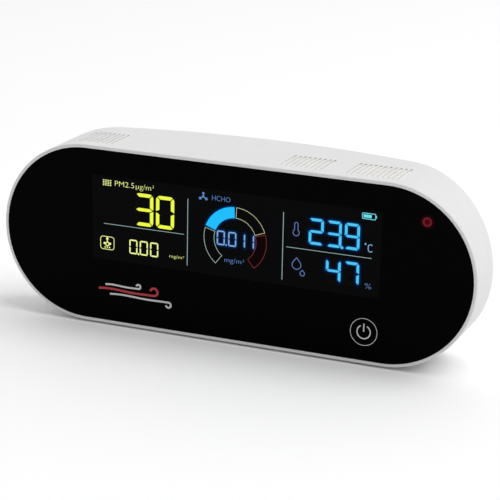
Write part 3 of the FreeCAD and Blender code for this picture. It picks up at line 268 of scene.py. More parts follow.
def glossy_film(name, colour):
    """The panel's own surface: polished, with faint wiped smudges and a few dust specks."""
    made = Surface(name, colour, PANEL_ROUGHNESS, ior=PANEL_IOR)
    smudges = made.noise(14.0, 4.0, (1.0, 1.0, 2.2))
    made.gloss(smudges, PANEL_ROUGHNESS, PANEL_ROUGHNESS + 0.05)
    specks = made.remap(made.cells(2.3), 0.035, 0.02)
    made.tint(specks, brighter(colour, 1.5, 0.004), 0.6)
    return made


def panel_black():
    return glossy_film("panel_black", PANEL_TONE)


def adhesive():
    made = Surface("adhesive", (0.05, 0.05, 0.05), roughness=0.8)
    made.mottle(1.5, 0.1)
    return made.relief(made.cells(0.25), 0.03)


def foot_rubber():
    """Soft rubber: matte, finely pitted, with a painted highlight that lightens the rim."""
    made = Surface("foot_rubber", (0.42, 0.42, 0.41), roughness=0.85)
    made.mottle(2.0, 0.08, 5.0)
    made.relief(made.noise(0.35, 5.0), 0.03)
    # painted highlight: the rim is painted lighter, as if it caught the light
    return made.tint(made.edges(0.4), (0.6, 0.6, 0.58), 0.6)


def screen_cream():
    """Woven dust screen: two sets of threads that cross, with painted shade where the weave dips
    between the threads.
    """
    made = Surface("screen_cream", (0.95, 0.94, 0.86), roughness=0.8)
    threads = made.combine("MULTIPLY", made.bands(0.42, "X"), made.bands(0.42, "Y"))
    # painted shade: darker where the weave is low, between the threads
    made.tint(made.remap(threads, 0.3, 0.0), (0.80, 0.78, 0.66), 0.5)
    made.mottle(3.0, 0.03)
    return made.relief(threads, 0.06)


def inner_black():
    return moulded("inner_black", (0.03, 0.03, 0.032), roughness=0.5, grain=0.5, depth=0.012)


def lcd_glass():
    made = Surface("lcd_glass", (0.012, 0.013, 0.018), roughness=0.08)
    made.gloss(made.noise(10.0), 0.05, 0.12)
    return made.tint(made.remap(made.bands(0.8, "X"), 0.6, 1.0), (0.02, 0.022, 0.03), 0.5)


def diffuser():
    made = Surface("diffuser", (0.88, 0.88, 0.86), roughness=0.7)
    made.mottle(6.0, 0.02)
    return made.relief(made.bands(0.12, "X"), 0.02)


def light_guide():
    """Clear acrylic with the white dots that let its light out."""
    made = Surface("light_guide", (0.72, 0.76, 0.77), roughness=0.12, ior=1.49)
    dots = made.remap(made.cells(1.1), 0.28, 0.2)
    made.gloss(made.noise(5.0), 0.08, 0.2)
    return made.tint(dots, (0.93, 0.93, 0.92))


def board(name, mask_colour):
    """Circuit board: glass weave under the mask, fine level and upright traces, tinned vias."""
    made = Surface(name, mask_colour, 0.3)
    weave = made.combine("MULTIPLY", made.bands(0.5, "X"), made.bands(0.5, "Z"))
    pitch = 1.27
    level = made.remap(made.bands(pitch, "Z"), 0.80, 0.88)
    upright = made.remap(made.bands(pitch, "X"), 0.80, 0.88)
    areas = made.noise(11.0, 0.0)
    level = made.combine("MULTIPLY", level, made.remap(areas, 0.53, 0.54))
    upright = made.combine("MULTIPLY", upright, made.remap(areas, 0.47, 0.46))
    copper = made.combine("MAXIMUM", level, upright)
    made.tint(copper, brighter(mask_colour, 1.5, 0.01), 0.7)
    vias = made.remap(made.cells(3.6), 0.10, 0.08)
    made.tint(vias, (0.62, 0.60, 0.54), 0.9)
    made.gloss(weave, 0.26, 0.4)
    made.relief(weave, 0.01)
    return made.relief(copper, 0.03)


def board_white():
    return board("board_white", (0.80, 0.80, 0.78))


def board_green():
    return board("board_green", (0.02, 0.15, 0.055))


def chip_black():
    black = (0.03, 0.03, 0.034)
    return moulded("chip_black", black, roughness=0.6, grain=0.12, depth=0.01, edge=0.08)


def brushed(name, colour, roughness, stretch=(1.0, 14.0, 14.0)):
    """Drawn or plated metal: streaks along one axis, dull patches and a painted highlight that
    brightens the edges.
    """
    made = Surface(name, colour, roughness, metallic=1.0)
    made.soften(0.08)
    streaks = made.noise(1.6, 4.0, stretch)
    made.mottle(3.0, 0.06)
    made.gloss(streaks, roughness - 0.08, roughness + 0.12)
    made.relief(streaks, 0.006)
    # painted highlight: the edges are painted brighter, as if they caught the light
    return made.tint(made.edges(0.15), brighter(colour, 1.25), 0.7)


def contact_metal():
    return brushed("contact_metal", (0.72, 0.71, 0.68), roughness=0.3)


def screw_steel():
    return brushed("screw_steel", (0.52, 0.52, 0.53), roughness=0.35, stretch=(8.0, 1.0, 8.0))


def port_steel():
    return brushed("port_steel", (0.66, 0.67, 0.68), roughness=0.26, stretch=(8.0, 1.0, 8.0))


def sensor_can():
    return brushed("sensor_can", (0.70, 0.71, 0.72), roughness=0.34, stretch=(12.0, 1.0, 1.0))


def brass_barrel():
    """Turned brass: fine tool rings along its length and a little tarnish."""
    made = brushed("brass_barrel", (0.72, 0.52, 0.22), roughness=0.28)
    made.tint(made.remap(made.noise(2.0), 0.5, 0.75), (0.45, 0.30, 0.12), 0.5)
    return made.relief(made.bands(0.22, "X"), 0.01)


def motor_copper():
    """Lacquered winding: round turns side by side along the motor's axis, with painted shade in the
    grooves between them.
    """
    made = Surface("motor_copper", (0.60, 0.27, 0.12), roughness=0.3, metallic=1.0)
    turns = made.bands(0.2, "Y")
    made.mottle(1.2, 0.12)
    made.gloss(made.noise(0.8), 0.22, 0.42)
    # painted shade: darker in the grooves between the turns
    made.tint(made.remap(turns, 0.2, 0.0), (0.20, 0.08, 0.03))
    return made.relief(turns, 0.05)


def led_red():
    """Tinted clear epoxy with a lit core."""
    made = Surface("led_red", (0.42, 0.01, 0.012), roughness=0.12)
    made.set(Emission_Color=(0.55, 0.01, 0.015, 1.0), Emission_Strength=0.6)
    made.gloss(made.noise(1.0), 0.06, 0.2)
    return made.tint(made.remap(made.noise(1.4), 0.4, 0.7), (0.7, 0.03, 0.03), 0.5)


def cell_wrap():
    """Shrink sleeve: glossy, with lengthwise puckers where it was drawn tight."""
    made = Surface("cell_wrap", (0.05, 0.20, 0.42), roughness=0.25)
    made.mottle(8.0, 0.06)
    puckers = made.noise(2.5, 3.0, (0.15, 1.0, 1.0))
    made.gloss(made.noise(6.0), 0.2, 0.34)
    return made.relief(puckers, 0.08)


def sensor_blue():
    return moulded("sensor_blue", (0.10, 0.22, 0.40), roughness=0.45, grain=0.35, depth=0.008)


def foam_grey():
    made = Surface("foam_grey", (0.10, 0.10, 0.105), roughness=0.95)
    pores = made.cells(0.45)
    # painted shade: darker in the pores, where the foam's cells hollow in
    made.tint(made.remap(pores, 0.25, 0.05), (0.03, 0.03, 0.03), 0.8)
    made.mottle(4.0, 0.1)
    return made.relief(pores, 0.12)


def plug_white():
    made = moulded("plug_white", (0.78, 0.76, 0.69), roughness=0.4, grain=0.3, depth=0.005)
    return made.set(Subsurface_Weight=0.1)


def lead_grey():
    """Sleeved wires: soft plastic with the strands showing through."""
    made = Surface("lead_grey", (0.08, 0.08, 0.085), roughness=0.5)
    made.mottle(2.0, 0.1)
    made.gloss(made.noise(1.5), 0.42, 0.6)
    return made.relief(made.noise(0.5, 2.0, (1.0, 1.0, 0.3)), 0.03)


def lit(name, colour):
    """A lit display area seen through the panel: its own glow under the panel's polish."""
    unlit_share = 0.05
    made = glossy_film(name, tuple(c * unlit_share for c in colour))
    return made.set(Emission_Color=(*colour, 1.0), Emission_Strength=1.0)


def printed(name, colour, drift, pinhole):
    """Screen-printed ink: matte, with tiny pinholes and an uneven tone."""
    made = Surface(name, colour, 0.45)
    made.mottle(0.8, drift)
    made.tint(made.remap(made.cells(0.35), 0.06, 0.03), pinhole, 0.6)
    return made.relief(made.noise(0.12, 2.0), 0.003)


def key_print():
    return printed("key_print", linear(206, 207, 209), 0.05, (0.2, 0.2, 0.2))


def red_print():
    return printed("red_print", linear(178, 38, 52), 0.08, (0.06, 0.005, 0.008))


# the finishes of the CAD nodes; each function has the name of its material slot
NODE_FINISHES = (
    shell_white,
    panel_black,
    adhesive,
    foot_rubber,
    screen_cream,
    inner_black,
    lcd_glass,
    diffuser,
    light_guide,
    board_white,
    board_green,
    chip_black,
    contact_metal,
    screw_steel,
    port_steel,
    led_red,
    cell_wrap,
    sensor_blue,
    brass_barrel,
    motor_copper,
    foam_grey,
    plug_white,
    lead_grey,
    sensor_can,
)


def finish_nodes():
    """Give every CAD node the finished material of the slot that it was packed with."""
    packed = {material.name: material for material in bpy.data.materials}
    finished = {}
    for make in NODE_FINISHES:
        packed[make.__name__].name = f"{make.__name__}_packed"
        finished[f"{make.__name__}_packed"] = make().material
    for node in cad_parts.values():
        for place in node.material_slots:
            place.material = finished[place.material.name]


# ---------------------------------------------------------------- flat shapes on the face

# how far in millimetres each layer stands out of the panel's face, and how far all reach into it
WINDOW_PROUD = 0.010
UNLIT_PROUD = 0.013
GLOW_PROUD = (0.016, 0.019, 0.022)
PROUD = 0.030
SINK = 0.020
# how far the three steps of light that leaks round a lit area reach, faintest first
GLOW_REACH = (1.25, 0.8, 0.4)

# a line's corner sticks out no further than half its width over this
MITRE_LIMIT = 0.4
# delaunay_2d_cdt gives only the triangles inside the loops, and merges points nearer than this
TRIANGLES_INSIDE = 1
NEAREST_POINTS = 1e-5
# corners of letters nearer than this in metres are one corner
NEAREST_CORNERS = 1e-7


def on_face(x, rise, proud=0.0):
    """A row-frame point from millimetres on the face; proud is how far it stands out."""
    return FACE + Vector((x, -proud, rise)) * MM


def arc(x, rise, radius, start, end, steps=24):
    """Points along an arc between two angles in degrees, counter-clockwise when end is larger."""
    angles = [math.radians(start + (end - start) * i / steps) for i in range(steps + 1)]
    return [Vector((x + radius * math.cos(a), rise + radius * math.sin(a))) for a in angles]


def disc(x, rise, radius, steps=32):
    """A circle as a loop of that many points."""
    return arc(x, rise, radius, 0, 360 - 360 / steps, steps - 1)


def box_loop(left, bottom, right, top, radius=0.0, steps=8):
    """A rectangle whose corners may be round."""
    if radius == 0.0:
        return [Vector(p) for p in ((left, bottom), (right, bottom), (right, top), (left, top))]
    corners = (
        (right - radius, top - radius, 0),
        (left + radius, top - radius, 90),
        (left + radius, bottom + radius, 180),
        (right - radius, bottom + radius, 270),
    )
    return [p for x, rise, start in corners for p in arc(x, rise, radius, start, start + 90, steps)]


def sector(x, rise, inner, outer, start, end):
    """A stretch of a flat ring between two angles."""
    steps = max(4, int(abs(end - start) / 3))
    far = arc(x, rise, outer, start, end, steps)
    near = arc(x, rise, inner, end, start, steps)
    return far + near


def across(direction):
    """The direction turned a quarter turn counter-clockwise."""
    return Vector((-direction.y, direction.x))


def stroke(points, width, closed=False):
    """Outline loops of a line of that width through the points."""
    count = len(points)
    left, right = [], []
    for i, point in enumerate(points):
        before = points[i - 1] if closed or i > 0 else None
        after = points[(i + 1) % count] if closed or i < count - 1 else None
        arrive = (point - before).normalized() if before is not None else None
        leave = (after - point).normalized() if after is not None else arrive
        arrive = arrive if arrive is not None else leave
        side = across((arrive + leave).normalized())
        reach = width / 2 / max(side.dot(across(arrive)), MITRE_LIMIT)
        left.append(point + side * reach)
        right.append(point - side * reach)
    if closed:
        return [left, right[::-1]]
    return [left + right[::-1]]


def area(loop):
    """Signed area of a loop, positive when it runs counter-clockwise."""
    return sum(a.x * b.y - b.x * a.y for a, b in zip(loop, loop[1:] + loop[:1])) / 2


def covered(shapes):
    """Points and triangles that cover all the shapes once, however they overlap.

    Each shape is a list of loops: the largest is its outline, the others are its holes."""
    points, faces, roles = [], [], []
    for number, shape in enumerate(shapes):
        loops = sorted(shape, key=lambda loop: -abs(area(loop)))
        for rank, loop in enumerate(loops):
            faces.append(list(range(len(points), len(points) + len(loop))))
            points += loop if area(loop) > 0 else loop[::-1]
            roles.append((number, rank == 0))
    result = delaunay_2d_cdt(points, [], faces, TRIANGLES_INSIDE, NEAREST_POINTS)
    points, _, triangles, _, _, origins = result
    kept = []
    for triangle, origin in zip(triangles, origins):
        outlines = {roles[i][0] for i in origin if roles[i][1]}
        holes = {roles[i][0] for i in origin if not roles[i][1]}
        if outlines - holes:
            kept.append(triangle)
    return points, kept


def add_plate(mesh, shapes, proud):
    """A closed thin solid over everything that the shapes cover."""
    points, triangles = covered(shapes)
    used = sorted({i for triangle in triangles for i in triangle})
    near = {i: mesh.verts.new(on_face(points[i].x, points[i].y, proud)) for i in used}
    far = {i: mesh.verts.new(on_face(points[i].x, points[i].y, -SINK)) for i in used}
    sides = set()
    for a, b, c in triangles:
        mesh.faces.new((near[a], near[b], near[c]))
        mesh.faces.new((far[c], far[b], far[a]))
        for start, end in ((a, b), (b, c), (c, a)):
            if (end, start) in sides:
                sides.remove((end, start))
            else:
                sides.add((start, end))
    for start, end in sorted(sides):
        mesh.faces.new((near[end], near[start], far[start], far[end]))


def settle(name, mesh, material):
    """Link a finished bmesh as a piece that rides on the body."""
    bmesh.ops.recalc_face_normals(mesh, faces=mesh.faces)
    data = bpy.data.meshes.new(name)
    mesh.to_mesh(data)
    mesh.free()
    data.materials.append(material)
    piece = bpy.data.objects.new(name, data)
    bpy.context.scene.collection.objects.link(piece)
    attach(piece, "root")
    return piece


def plates(name, shapes, material, proud=PROUD):
    """One piece made of a thin plate; each shape is a list of loops."""
    mesh = bmesh.new()
    add_plate(mesh, shapes, proud)
    return settle(name, mesh, material)


def swollen(loop, by):
    """The loop moved outwards all round by that much."""
    return max(stroke(loop, 2 * by, closed=True), key=lambda outline: abs(area(outline)))


def glow(name, loops):
    """Faint blue light that leaks round lit areas, in three steps."""
    for step, (reach, proud) in enumerate(zip(GLOW_REACH, GLOW_PROUD), start=1):
        shapes = [[swollen(loop, reach)] for loop in loops]
        plates(f"{name}_glow_{step}", shapes, FINISH[f"glow_{step}"], proud)


# in shares of the type size: how much thinner the letters are drawn, and a thickness that only
# serves to tell the front of a letter from its back
LETTER_OFFSET = -0.017
LETTER_THICKNESS = 0.01


def add_lettering(mesh, body, left, bottom, width, height):
    """Raised letters fitted to a box on the face, in the built-in sans typeface."""
    curve = bpy.data.curves.new("lettering", "FONT")
    curve.body = body
    curve.extrude = LETTER_THICKNESS
    curve.offset = LETTER_OFFSET
    curve.resolution_u = 5
    holder = bpy.data.objects.new("lettering", curve)
    bpy.context.scene.collection.objects.link(holder)
    bpy.context.view_layer.update()
    drawn = holder.evaluated_get(bpy.context.evaluated_depsgraph_get()).to_mesh()
    xs = [v.co.x for v in drawn.vertices]
    ys = [v.co.y for v in drawn.vertices]
    across_scale = width / (max(xs) - min(xs))
    up_scale = height / (max(ys) - min(ys))
    made = []
    for v in drawn.vertices:
        x = left + (v.co.x - min(xs)) * across_scale
        rise = bottom + (v.co.y - min(ys)) * up_scale
        made.append(mesh.verts.new(on_face(x, rise, PROUD if v.co.z > 0 else -SINK)))
    for face in drawn.polygons:
        mesh.faces.new([made[i] for i in face.vertices])
    bpy.data.objects.remove(holder)
    bpy.data.curves.remove(curve)


def lettering(name, texts, material):
    """One piece of lettering; each text is (letters, left, bottom, width, height)."""
    mesh = bmesh.new()
    for text in texts:
        add_lettering(mesh, *text)
    bmesh.ops.remove_doubles(mesh, verts=mesh.verts, dist=NEAREST_CORNERS)
    return settle(name, mesh, material)


# ---------------------------------------------------------------- seven-segment digits

SEGMENTS = {
    "0": "abcdef",
    "1": "bc",
    "2": "abdeg",
    "3": "abcdg",
    "4": "bcfg",
    "7": "abc",
    "9": "abcdfg",
}
# shares of a segment's thickness: the gap between two segments and the radius of outer corners
SEGMENT_GAP = 0.24
SEGMENT_CORNER = 1.3
CORNER_STEPS = 5
# the middle bar's ends, and its edges, stand this many diagonal gaps off their neighbours
BAR_END_GAP = 1.6
BAR_EDGE_GAP = 1 / 3


def segment_shapes(width, height, thick):
    """The seven segments of one digit as loops, with its low left corner at the origin.

    Outer corners are round and split at 45 degrees; the middle bar has pointed ends."""
    gap = SEGMENT_GAP * thick
    cut = gap * math.sqrt(0.5)
    corner = SEGMENT_CORNER * thick
    middle = height / 2
    spread = math.degrees(gap / 2 / corner)
    right = width - thick

    top = [Vector((thick + cut, height - thick))]
    top += arc(corner, height - corner, corner, 135 - spread, 90, CORNER_STEPS)
    top += arc(width - corner, height - corner, corner, 90, 45 + spread, CORNER_STEPS)
    top += [Vector((right - cut, height - thick))]

    side = [Vector((right, height - thick - cut))]
    side += arc(width - corner, height - corner, corner, 45 - spread, 0, CORNER_STEPS)
    side += [Vector((width, middle + cut)), Vector((right, middle + thick / 2 + cut))]

    tip = cut * BAR_END_GAP
    half = thick / 2 - cut * BAR_EDGE_GAP
    bar = [
        Vector((tip, middle)),
        Vector((thick, middle + half)),
        Vector((right, middle + half)),
        Vector((width - tip, middle)),
        Vector((right, middle - half)),
        Vector((thick, middle - half)),
    ]

    def flipped(loop, sideways, upside_down):
        return [
            Vector((width - p.x if sideways else p.x, height - p.y if upside_down else p.y))
            for p in loop
        ]

    return {
        "a": top,
        "b": side,
        "c": flipped(side, False, True),
        "d": flipped(top, False, True),
        "e": flipped(side, True, True),
        "f": flipped(side, True, False),
        "g": bar,
    }


def digits(name, number, lefts, bottom, size, thick, point, finish, slot):
    """A row of lit digits, its decimal point, and the unlit segments that faintly show."""
    outlines = segment_shapes(*size, thick)
    bright, dim = [], []
    for figure, left in zip(number, lefts):
        for key, loop in outlines.items():
            moved = [p + Vector((left, bottom)) for p in loop]
            (bright if key in SEGMENTS[figure] else dim).append([moved])
    if point is not None:
        bright.append([disc(*point)])
    plates(f"{name}_digits", bright, FINISH[finish])
    plates(f"{name}_unlit", dim, FINISH["unlit"], UNLIT_PROUD)
    if slot == "display_sky":
        glow(name, [loops[0] for loops in bright])


# ---------------------------------------------------------------- what the display shows

# screen colours, 0 to 255, of everything that is lit or faintly seen in the panel
LIT_TONES = {
    "yellow": (236, 248, 70),
    "pale_yellow": (240, 248, 152),
    "sky": (74, 194, 244),
    "gauge_blue": (30, 186, 255),
    "mist": (126, 172, 216),
    "glow_1": (0, 6, 22),
    "glow_2": (0, 20, 50),
    "glow_3": (0, 40, 84),
    "blue": (92, 132, 190),
    "violet": (96, 120, 178),
    "teal": (150, 174, 174),
    "leaf": (176, 196, 180),
    "straw": (206, 202, 158),
    "cyan": (112, 228, 238),
    "red_line": (128, 50, 54),
    "red_shade": (13, 1, 2),
    "unlit": (8, 7, 6),
    "lamp_ring": (96, 28, 38),
    "lamp_core": (70, 1, 8),
    "lamp_glow": (34, 0, 3),
    "lamp_haze": (18, 0, 1),
}

FINISH = {}


def make_finishes():
    """Materials of the pieces that are made here."""
    for key, tone in LIT_TONES.items():
        name = key if key.startswith("lamp") else f"display_{key}"
        FINISH[key] = lit(name, linear(*tone)).material
    FINISH["window"] = glossy_film("display_window", WINDOW_TONE).material
    FINISH["print"] = key_print().material
    FINISH["red_print"] = red_print().material


def make_window():
    """The display's own glass, a shade off the panel's print."""
    left, bottom, right, top = -61.4, -9.8, 63.0, 25.5
    loop = box_loop(left, bottom, right, top, radius=0.6)
    plates("display_window", [[loop]], FINISH["window"], WINDOW_PROUD)


def make_dividers():
    """Two upright and two level lines between the readings."""
    uprights = ((-18.8, -7.5, 20.5), (22.3, -7.6, 20.2))
    levels = ((-56.2, -20.3, 5.4), (23.8, 59.3, 6.2))
    upright_half, level_half = 0.27 / 2, 0.22 / 2
    end_radius, end_steps = 0.1, 3
    boxes = [(x - upright_half, low, x + upright_half, high) for x, low, high in uprights]
    boxes += [(left, rise - level_half, right, rise + level_half) for left, right, rise in levels]
    lines = [[box_loop(*box, end_radius, end_steps)] for box in boxes]
    plates("display_dividers", lines, FINISH["teal"])


def make_particle_field():
    """Dust reading: dotted icon, quantity with its unit, and two large figures."""
    left, bottom = -56.6, 21.5
    pitch_across, pitch_up = 1.02, 0.68
    dot_width, dot_height = 0.64, 0.38
    dots = []
    for column in range(4):
        for row in range(4):
            x, rise = left + pitch_across * column, bottom + pitch_up * row
            dots.append([box_loop(x, rise, x + dot_width, rise + dot_height)])
    plates("particle_icon", dots, FINISH["pale_yellow"])
    texts = (("PM2.5", -51.2, 21.75, 8.6, 2.2), ("µg/m³", -41.8, 21.0, 7.9, 2.9))
    lettering("particle_label", texts, FINISH["pale_yellow"])
    width, height = 8.05, 13.6
    right_edges = (-34.0, -24.75)
    digits(
        "particle",
        "30",
        lefts=[right - width for right in right_edges],
        bottom=6.5,
        size=(width, height),
        thick=1.48,
        point=None,
        finish="yellow",
        slot="display_yellow",
    )


def molecule(x, rise):
    """Shapes of a small molecule: a stem and knob over a ring, two side atoms and three below."""
    knob_up, knob_radius = 2.0, 0.55
    stem_low, stem_high, stem_half = 0.3, 1.6, 0.22
    ring_down, ring_radius, ring_line = 0.35, 0.78, 0.42
    side_out, side_down, side_radius = 1.25, 0.1, 0.48
    low_pitch, low_down, low_radius = 1.0, 1.75, 0.3
    shapes = [
        [disc(x, rise + knob_up, knob_radius)],
        [box_loop(x - stem_half, rise + stem_low, x + stem_half, rise + stem_high)],
        stroke(disc(x, rise - ring_down, ring_radius, 20), ring_line, closed=True),
    ]
    for sign in (-1, 1):
        shapes.append([disc(x + sign * side_out, rise - side_down, side_radius, 20)])
    for i in (-1, 0, 1):
        shapes.append([disc(x + i * low_pitch, rise - low_down, low_radius, 16)])
    return shapes


def make_gas_field():
    """Total gas reading: boxed molecule icon, three small figures and a unit."""
    left, bottom, right, top = -57.7, -5.5, -51.6, -0.1
    line = 0.26
    frame_line = box_loop(left, bottom, right, top, radius=1.1, steps=6)
    shapes = [stroke(frame_line, line, closed=True)] + molecule(-54.65, -2.9)
    plates("gas_icon", shapes, FINISH["pale_yellow"])
    first, pitch = -44.65, 4.66
    digits(
        "gas",
        "000",
        lefts=[first + pitch * i for i in range(3)],
        bottom=-5.95,
        size=(3.65, 6.1),
        thick=0.58,
        point=(-40.5, -5.7, 0.42),
        finish="pale_yellow",
        slot="display_yellow",
    )
    texts = (("mg/m³", -26.7, -5.6, 6.4, 1.75),)
    lettering("gas_unit", texts, FINISH["pale_yellow"])


def make_gauge():
    """Four-part ring: one part lit, the others outlined in their warning colours."""
    x, rise, inner, outer = 1.9, 5.95, 9.0, 13.55
    line = 0.18
    inset = line / 2
    # each outlined part with the angles in degrees where it starts and ends
    rows = (
        ("gauge_good", 164, 232, "leaf", "display_teal"),
        ("gauge_poor", 20, 88, "straw", "display_yellow"),
        ("gauge_bad", -52, 16, "red_line", "display_red"),
    )
    for name, start, end, finish, slot in rows:
        outline = sector(x, rise, inner + inset, outer - inset, start, end)
        plates(name, [stroke(outline, line, closed=True)], FINISH[finish])
    shade = sector(x, rise, inner + line, outer - line, -51, 15)
    plates("gauge_bad_shade", [[shade]], FINISH["red_shade"], UNLIT_PROUD)
    fill = sector(x, rise, inner, outer, 92, 160)
    plates("gauge_fair", [[fill]], FINISH["gauge_blue"])
    glow("gauge_fair", [fill])


def make_formaldehyde_field():
    """Formaldehyde reading inside the gauge, with its icon, formula and unit."""
    x, rise = -12.1, 22.2
    hub_up, hub_radius, arm_line = 0.1, 0.52, 0.42
    # the angle, reach and tip radius of each arm
    arms = ((90, 1.35, 0.52), (212, 1.55, 0.58), (328, 1.55, 0.58))
    shapes = [[disc(x, rise + hub_up, hub_radius)]]
    for angle, reach, radius in arms:
        turn = math.radians(angle)
        tip = Vector((x + reach * math.cos(turn), rise + reach * math.sin(turn)))
        shapes.append(stroke([Vector((x, rise)), tip], arm_line))
        shapes.append([disc(tip.x, tip.y, radius)])
    plates("hcho_icon", shapes, FINISH["blue"])
    lettering("hcho_label", (("HCHO", -8.3, 21.2, 7.9, 2.0),), FINISH["blue"])
    width, height = 3.5, 6.0
    digits(
        "hcho",
        "0011",
        lefts=(-6.0, -1.05, 6.25 - width, 10.1 - width),
        bottom=3.1,
        size=(width, height),
        thick=0.55,
        point=(-1.9, 3.4, 0.34),
        finish="mist",
        slot="display_sky",
    )
    lettering("hcho_unit", (("mg/m³", -2.5, -4.3, 8.4, 2.6),), FINISH["blue"])


def thermometer_loop(x, bottom, top, stem, bulb):
    """Outline of a thermometer: a narrow round-topped stem on a round bulb."""
    half = math.degrees(math.asin(stem / bulb))
    ball = arc(x, bottom + bulb, bulb, 90 + half, 450 - half, 24)
    cap = arc(x, top - stem, stem, 0, 180, 10)
    return ball + cap


def drop_loop(x, bottom, top, radius):
    """Outline of a drop: a round base drawn up to a point by two tangents."""
    centre = bottom + radius
    lean = math.degrees(math.acos(radius / (top - centre)))
    base = arc(x, centre, radius, 90 + lean, 450 - lean, 24)
    return base + [Vector((x, top))]


ICON_LINE = 0.3


def make_temperature_field():
    """Temperature reading: thermometer, three figures and the degree sign with its letter."""
    outline = thermometer_loop(27.8, bottom=11.2, top=16.7, stem=0.72, bulb=1.3)
    shapes = [stroke(outline, ICON_LINE, closed=True)]
    plates("temperature_icon", shapes, FINISH["violet"])
    digits(
        "temperature",
        "239",
        lefts=(33.05, 40.5, 47.95),
        bottom=8.6,
        size=(6.2, 10.7),
        thick=1.12,
        point=(47.0, 8.95, 0.58),
        finish="sky",
        slot="display_sky",
    )
    degree = disc(56.6, 11.75, 0.36, 20)
    x, low, high, radius, line = 58.7, 9.7, 10.75, 0.95, 0.34
    letter = arc(x, high, radius, 40, 180, 12) + arc(x, low, radius, 180, 320, 12)
    shapes = [[degree], stroke(letter, line)]
    plates("temperature_unit", shapes, FINISH["mist"])


def make_humidity_field():
    """Humidity reading: a large and a small drop, two figures and the percent sign."""
    drops = (
        drop_loop(28.3, bottom=-2.5, top=2.3, radius=1.85),
        drop_loop(30.85, bottom=-4.9, top=-2.6, radius=0.95),
    )
    shapes = [stroke(drop, ICON_LINE, closed=True) for drop in drops]
    plates("humidity_icon", shapes, FINISH["violet"])
    digits(
        "humidity",
        "47",
        lefts=(40.6, 48.2),
        bottom=-5.7,
        size=(6.2, 9.4),
        thick=1.12,
        point=None,
        finish="sky",
        slot="display_sky",
    )
    lettering("humidity_unit", (("%", 56.9, -6.3, 2.7, 2.2),), FINISH["blue"])


def make_battery_gauge():
    """Battery gauge: a cell's outline with its nub, and three bars of charge."""
    line = 0.26
    outline = box_loop(54.9, 21.85, 60.3, 24.1, radius=0.3, steps=4)
    nub = box_loop(60.42, 22.55, 60.75, 23.4)
    shapes = [stroke(outline, line, closed=True), [nub]]
    plates("battery_outline", shapes, FINISH["cyan"])
    first, pitch, width, bottom, top = 55.4, 1.12, 1.0, 22.35, 23.6
    lefts = [first + pitch * i for i in range(3)]
    bars = [[box_loop(left, bottom, left + width, top)] for left in lefts]
    plates("battery_level", bars, FINISH["cyan"])


# ---------------------------------------------------------------- printed marks and lamp


def make_power_key():
    """Touch key: a ring round the usual power symbol."""
    x, rise = 57.2, -24.2
    ring_radius, ring_line = 5.55, 0.22
    symbol_radius, symbol_line = 2.75, 0.46
    stem_half, stem_low, stem_high = 0.24, 0.1, 3.5
    stem = box_loop(x - stem_half, rise + stem_low, x + stem_half, rise + stem_high, 0.2, 4)
    shapes = [
        stroke(disc(x, rise, ring_radius, 72), ring_line, closed=True),
        stroke(arc(x, rise, symbol_radius, 118, 422, 44), symbol_line),
        [stem],
    ]
    plates("power_key_mark", shapes, FINISH["print"])


def make_indicator():
    """Status lamp behind its round window: a red ring round a deeper core, and its haze."""
    x, rise = 81.0, 23.7
    rows = (
        ("indicator_haze", 3.0, "lamp_haze", GLOW_PROUD[0]),
        ("indicator_glow", 2.45, "lamp_glow", GLOW_PROUD[1]),
        ("indicator_ring", 1.9, "lamp_ring", GLOW_PROUD[2]),
        ("indicator_core", 1.1, "lamp_core", PROUD),
    )
    for name, radius, finish, proud in rows:
        plates(name, [[disc(x, rise, radius, 40)]], FINISH[finish], proud)


def breeze(left, right, rise, swell, curl):
    """Centre line of one stream of air: a gentle wave that ends in a small curl.

    The curl's radius is the size of curl, and it turns up where curl is positive."""
    steps = 26
    points = []
    for i in range(steps + 1):
        share = i / steps
        lift = swell * math.sin(share * 2 * math.pi) * (1 - share)
        points.append(Vector((left + (right - left) * share, rise + lift)))
    if curl > 0:
        points += arc(right, rise + curl, curl, -75, 170, 16)
    else:
        points += arc(right, rise + curl, -curl, 75, -170, 16)
    return points


def make_air_motif():
    """Plain mark of three streams of air in place of lettering."""
    red_width, grey_width = 0.95, 0.76
    red = stroke(breeze(-58.6, -33.5, rise=-22.6, swell=0.5, curl=1.6), red_width)
    plates("air_motif_red", [red], FINISH["red_print"])
    grey = [
        stroke(breeze(-53.5, -27.0, rise=-24.5, swell=0.4, curl=-1.1), grey_width),
        stroke(breeze(-55.5, -40.5, rise=-20.6, swell=0.3, curl=0.9), grey_width),
    ]
    plates("air_motif_grey", grey, FINISH["print"])


# ---------------------------------------------------------------- stage

# half the floor's side, in metres
FLOOR_REACH = 4.0
FLOOR_TONE = (0.955, 0.955, 0.955)
# the surround's strength in front of the object and behind it, and where it changes over
SURROUND_STRENGTH = (0.45, 0.95)
SURROUND_SPAN = (-0.2, 0.6)
# places in metres, the lamp's width in metres and its power in watts
SOFTBOX_PLACE = Vector((1.6, 0.1, 3.0))
SOFTBOX_TARGET = Vector((0.0, 0.0, 0.03))
SOFTBOX_WIDTH = 3.2
SOFTBOX_POWER = 70.0


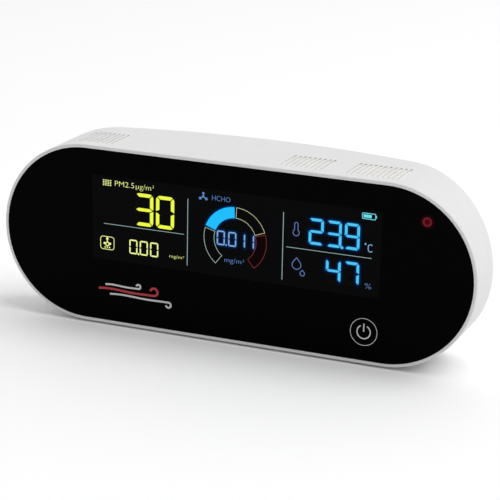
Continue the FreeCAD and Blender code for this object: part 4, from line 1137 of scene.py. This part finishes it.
def make_floor():
    """A wide plain floor."""
    reach = FLOOR_REACH
    mesh = bmesh.new()
    corners = ((-reach, -reach), (reach, -reach), (reach, reach), (-reach, reach))
    mesh.faces.new([mesh.verts.new((x, y, 0.0)) for x, y in corners])
    data = bpy.data.meshes.new("floor")
    mesh.to_mesh(data)
    mesh.free()
    surface = Surface("floor_paper", FLOOR_TONE, roughness=0.9)
    surface.mottle(400.0, 0.004)
    data.materials.append(surface.material)
    floor = bpy.data.objects.new("floor", data)
    bpy.context.scene.collection.objects.link(floor)


def make_softbox():
    """One wide round lamp, high on the right."""
    data = bpy.data.lights.new("softbox", "AREA")
    data.shape = "DISK"
    data.size = SOFTBOX_WIDTH
    data.energy = SOFTBOX_POWER
    light = bpy.data.objects.new("softbox", data)
    light.location = SOFTBOX_PLACE
    aim = SOFTBOX_TARGET - SOFTBOX_PLACE
    light.rotation_euler = aim.to_track_quat("-Z", "Y").to_euler()
    bpy.context.scene.collection.objects.link(light)


def make_surround():
    """An even surround that is dimmer in front of the object than behind it."""
    world = bpy.data.worlds.new("surround")
    bpy.context.scene.world = world
    world.use_nodes = True
    nodes, links = world.node_tree.nodes, world.node_tree.links
    background = nodes["Background"]
    background.inputs["Color"].default_value = (1.0, 1.0, 1.0, 1.0)
    place = nodes.new("ShaderNodeTexCoord")
    parts = nodes.new("ShaderNodeSeparateXYZ")
    spread = nodes.new("ShaderNodeMapRange")
    spread.inputs["From Min"].default_value = SURROUND_SPAN[0]
    spread.inputs["From Max"].default_value = SURROUND_SPAN[1]
    spread.inputs["To Min"].default_value = SURROUND_STRENGTH[0]
    spread.inputs["To Max"].default_value = SURROUND_STRENGTH[1]
    links.new(place.outputs["Generated"], parts.inputs["Vector"])
    links.new(parts.outputs["Y"], spread.inputs["Value"])
    links.new(spread.outputs["Result"], background.inputs["Strength"])


# ---------------------------------------------------------------- everything

finish_nodes()
make_finishes()
make_window()
make_dividers()
make_particle_field()
make_gas_field()
make_gauge()
make_formaldehyde_field()
make_temperature_field()
make_humidity_field()
make_battery_gauge()
make_power_key()
make_indicator()
make_air_motif()
make_floor()
make_surround()
make_softbox()
bpy.context.scene.view_settings.view_transform = "Standard"

bpy.context.view_layer.update()
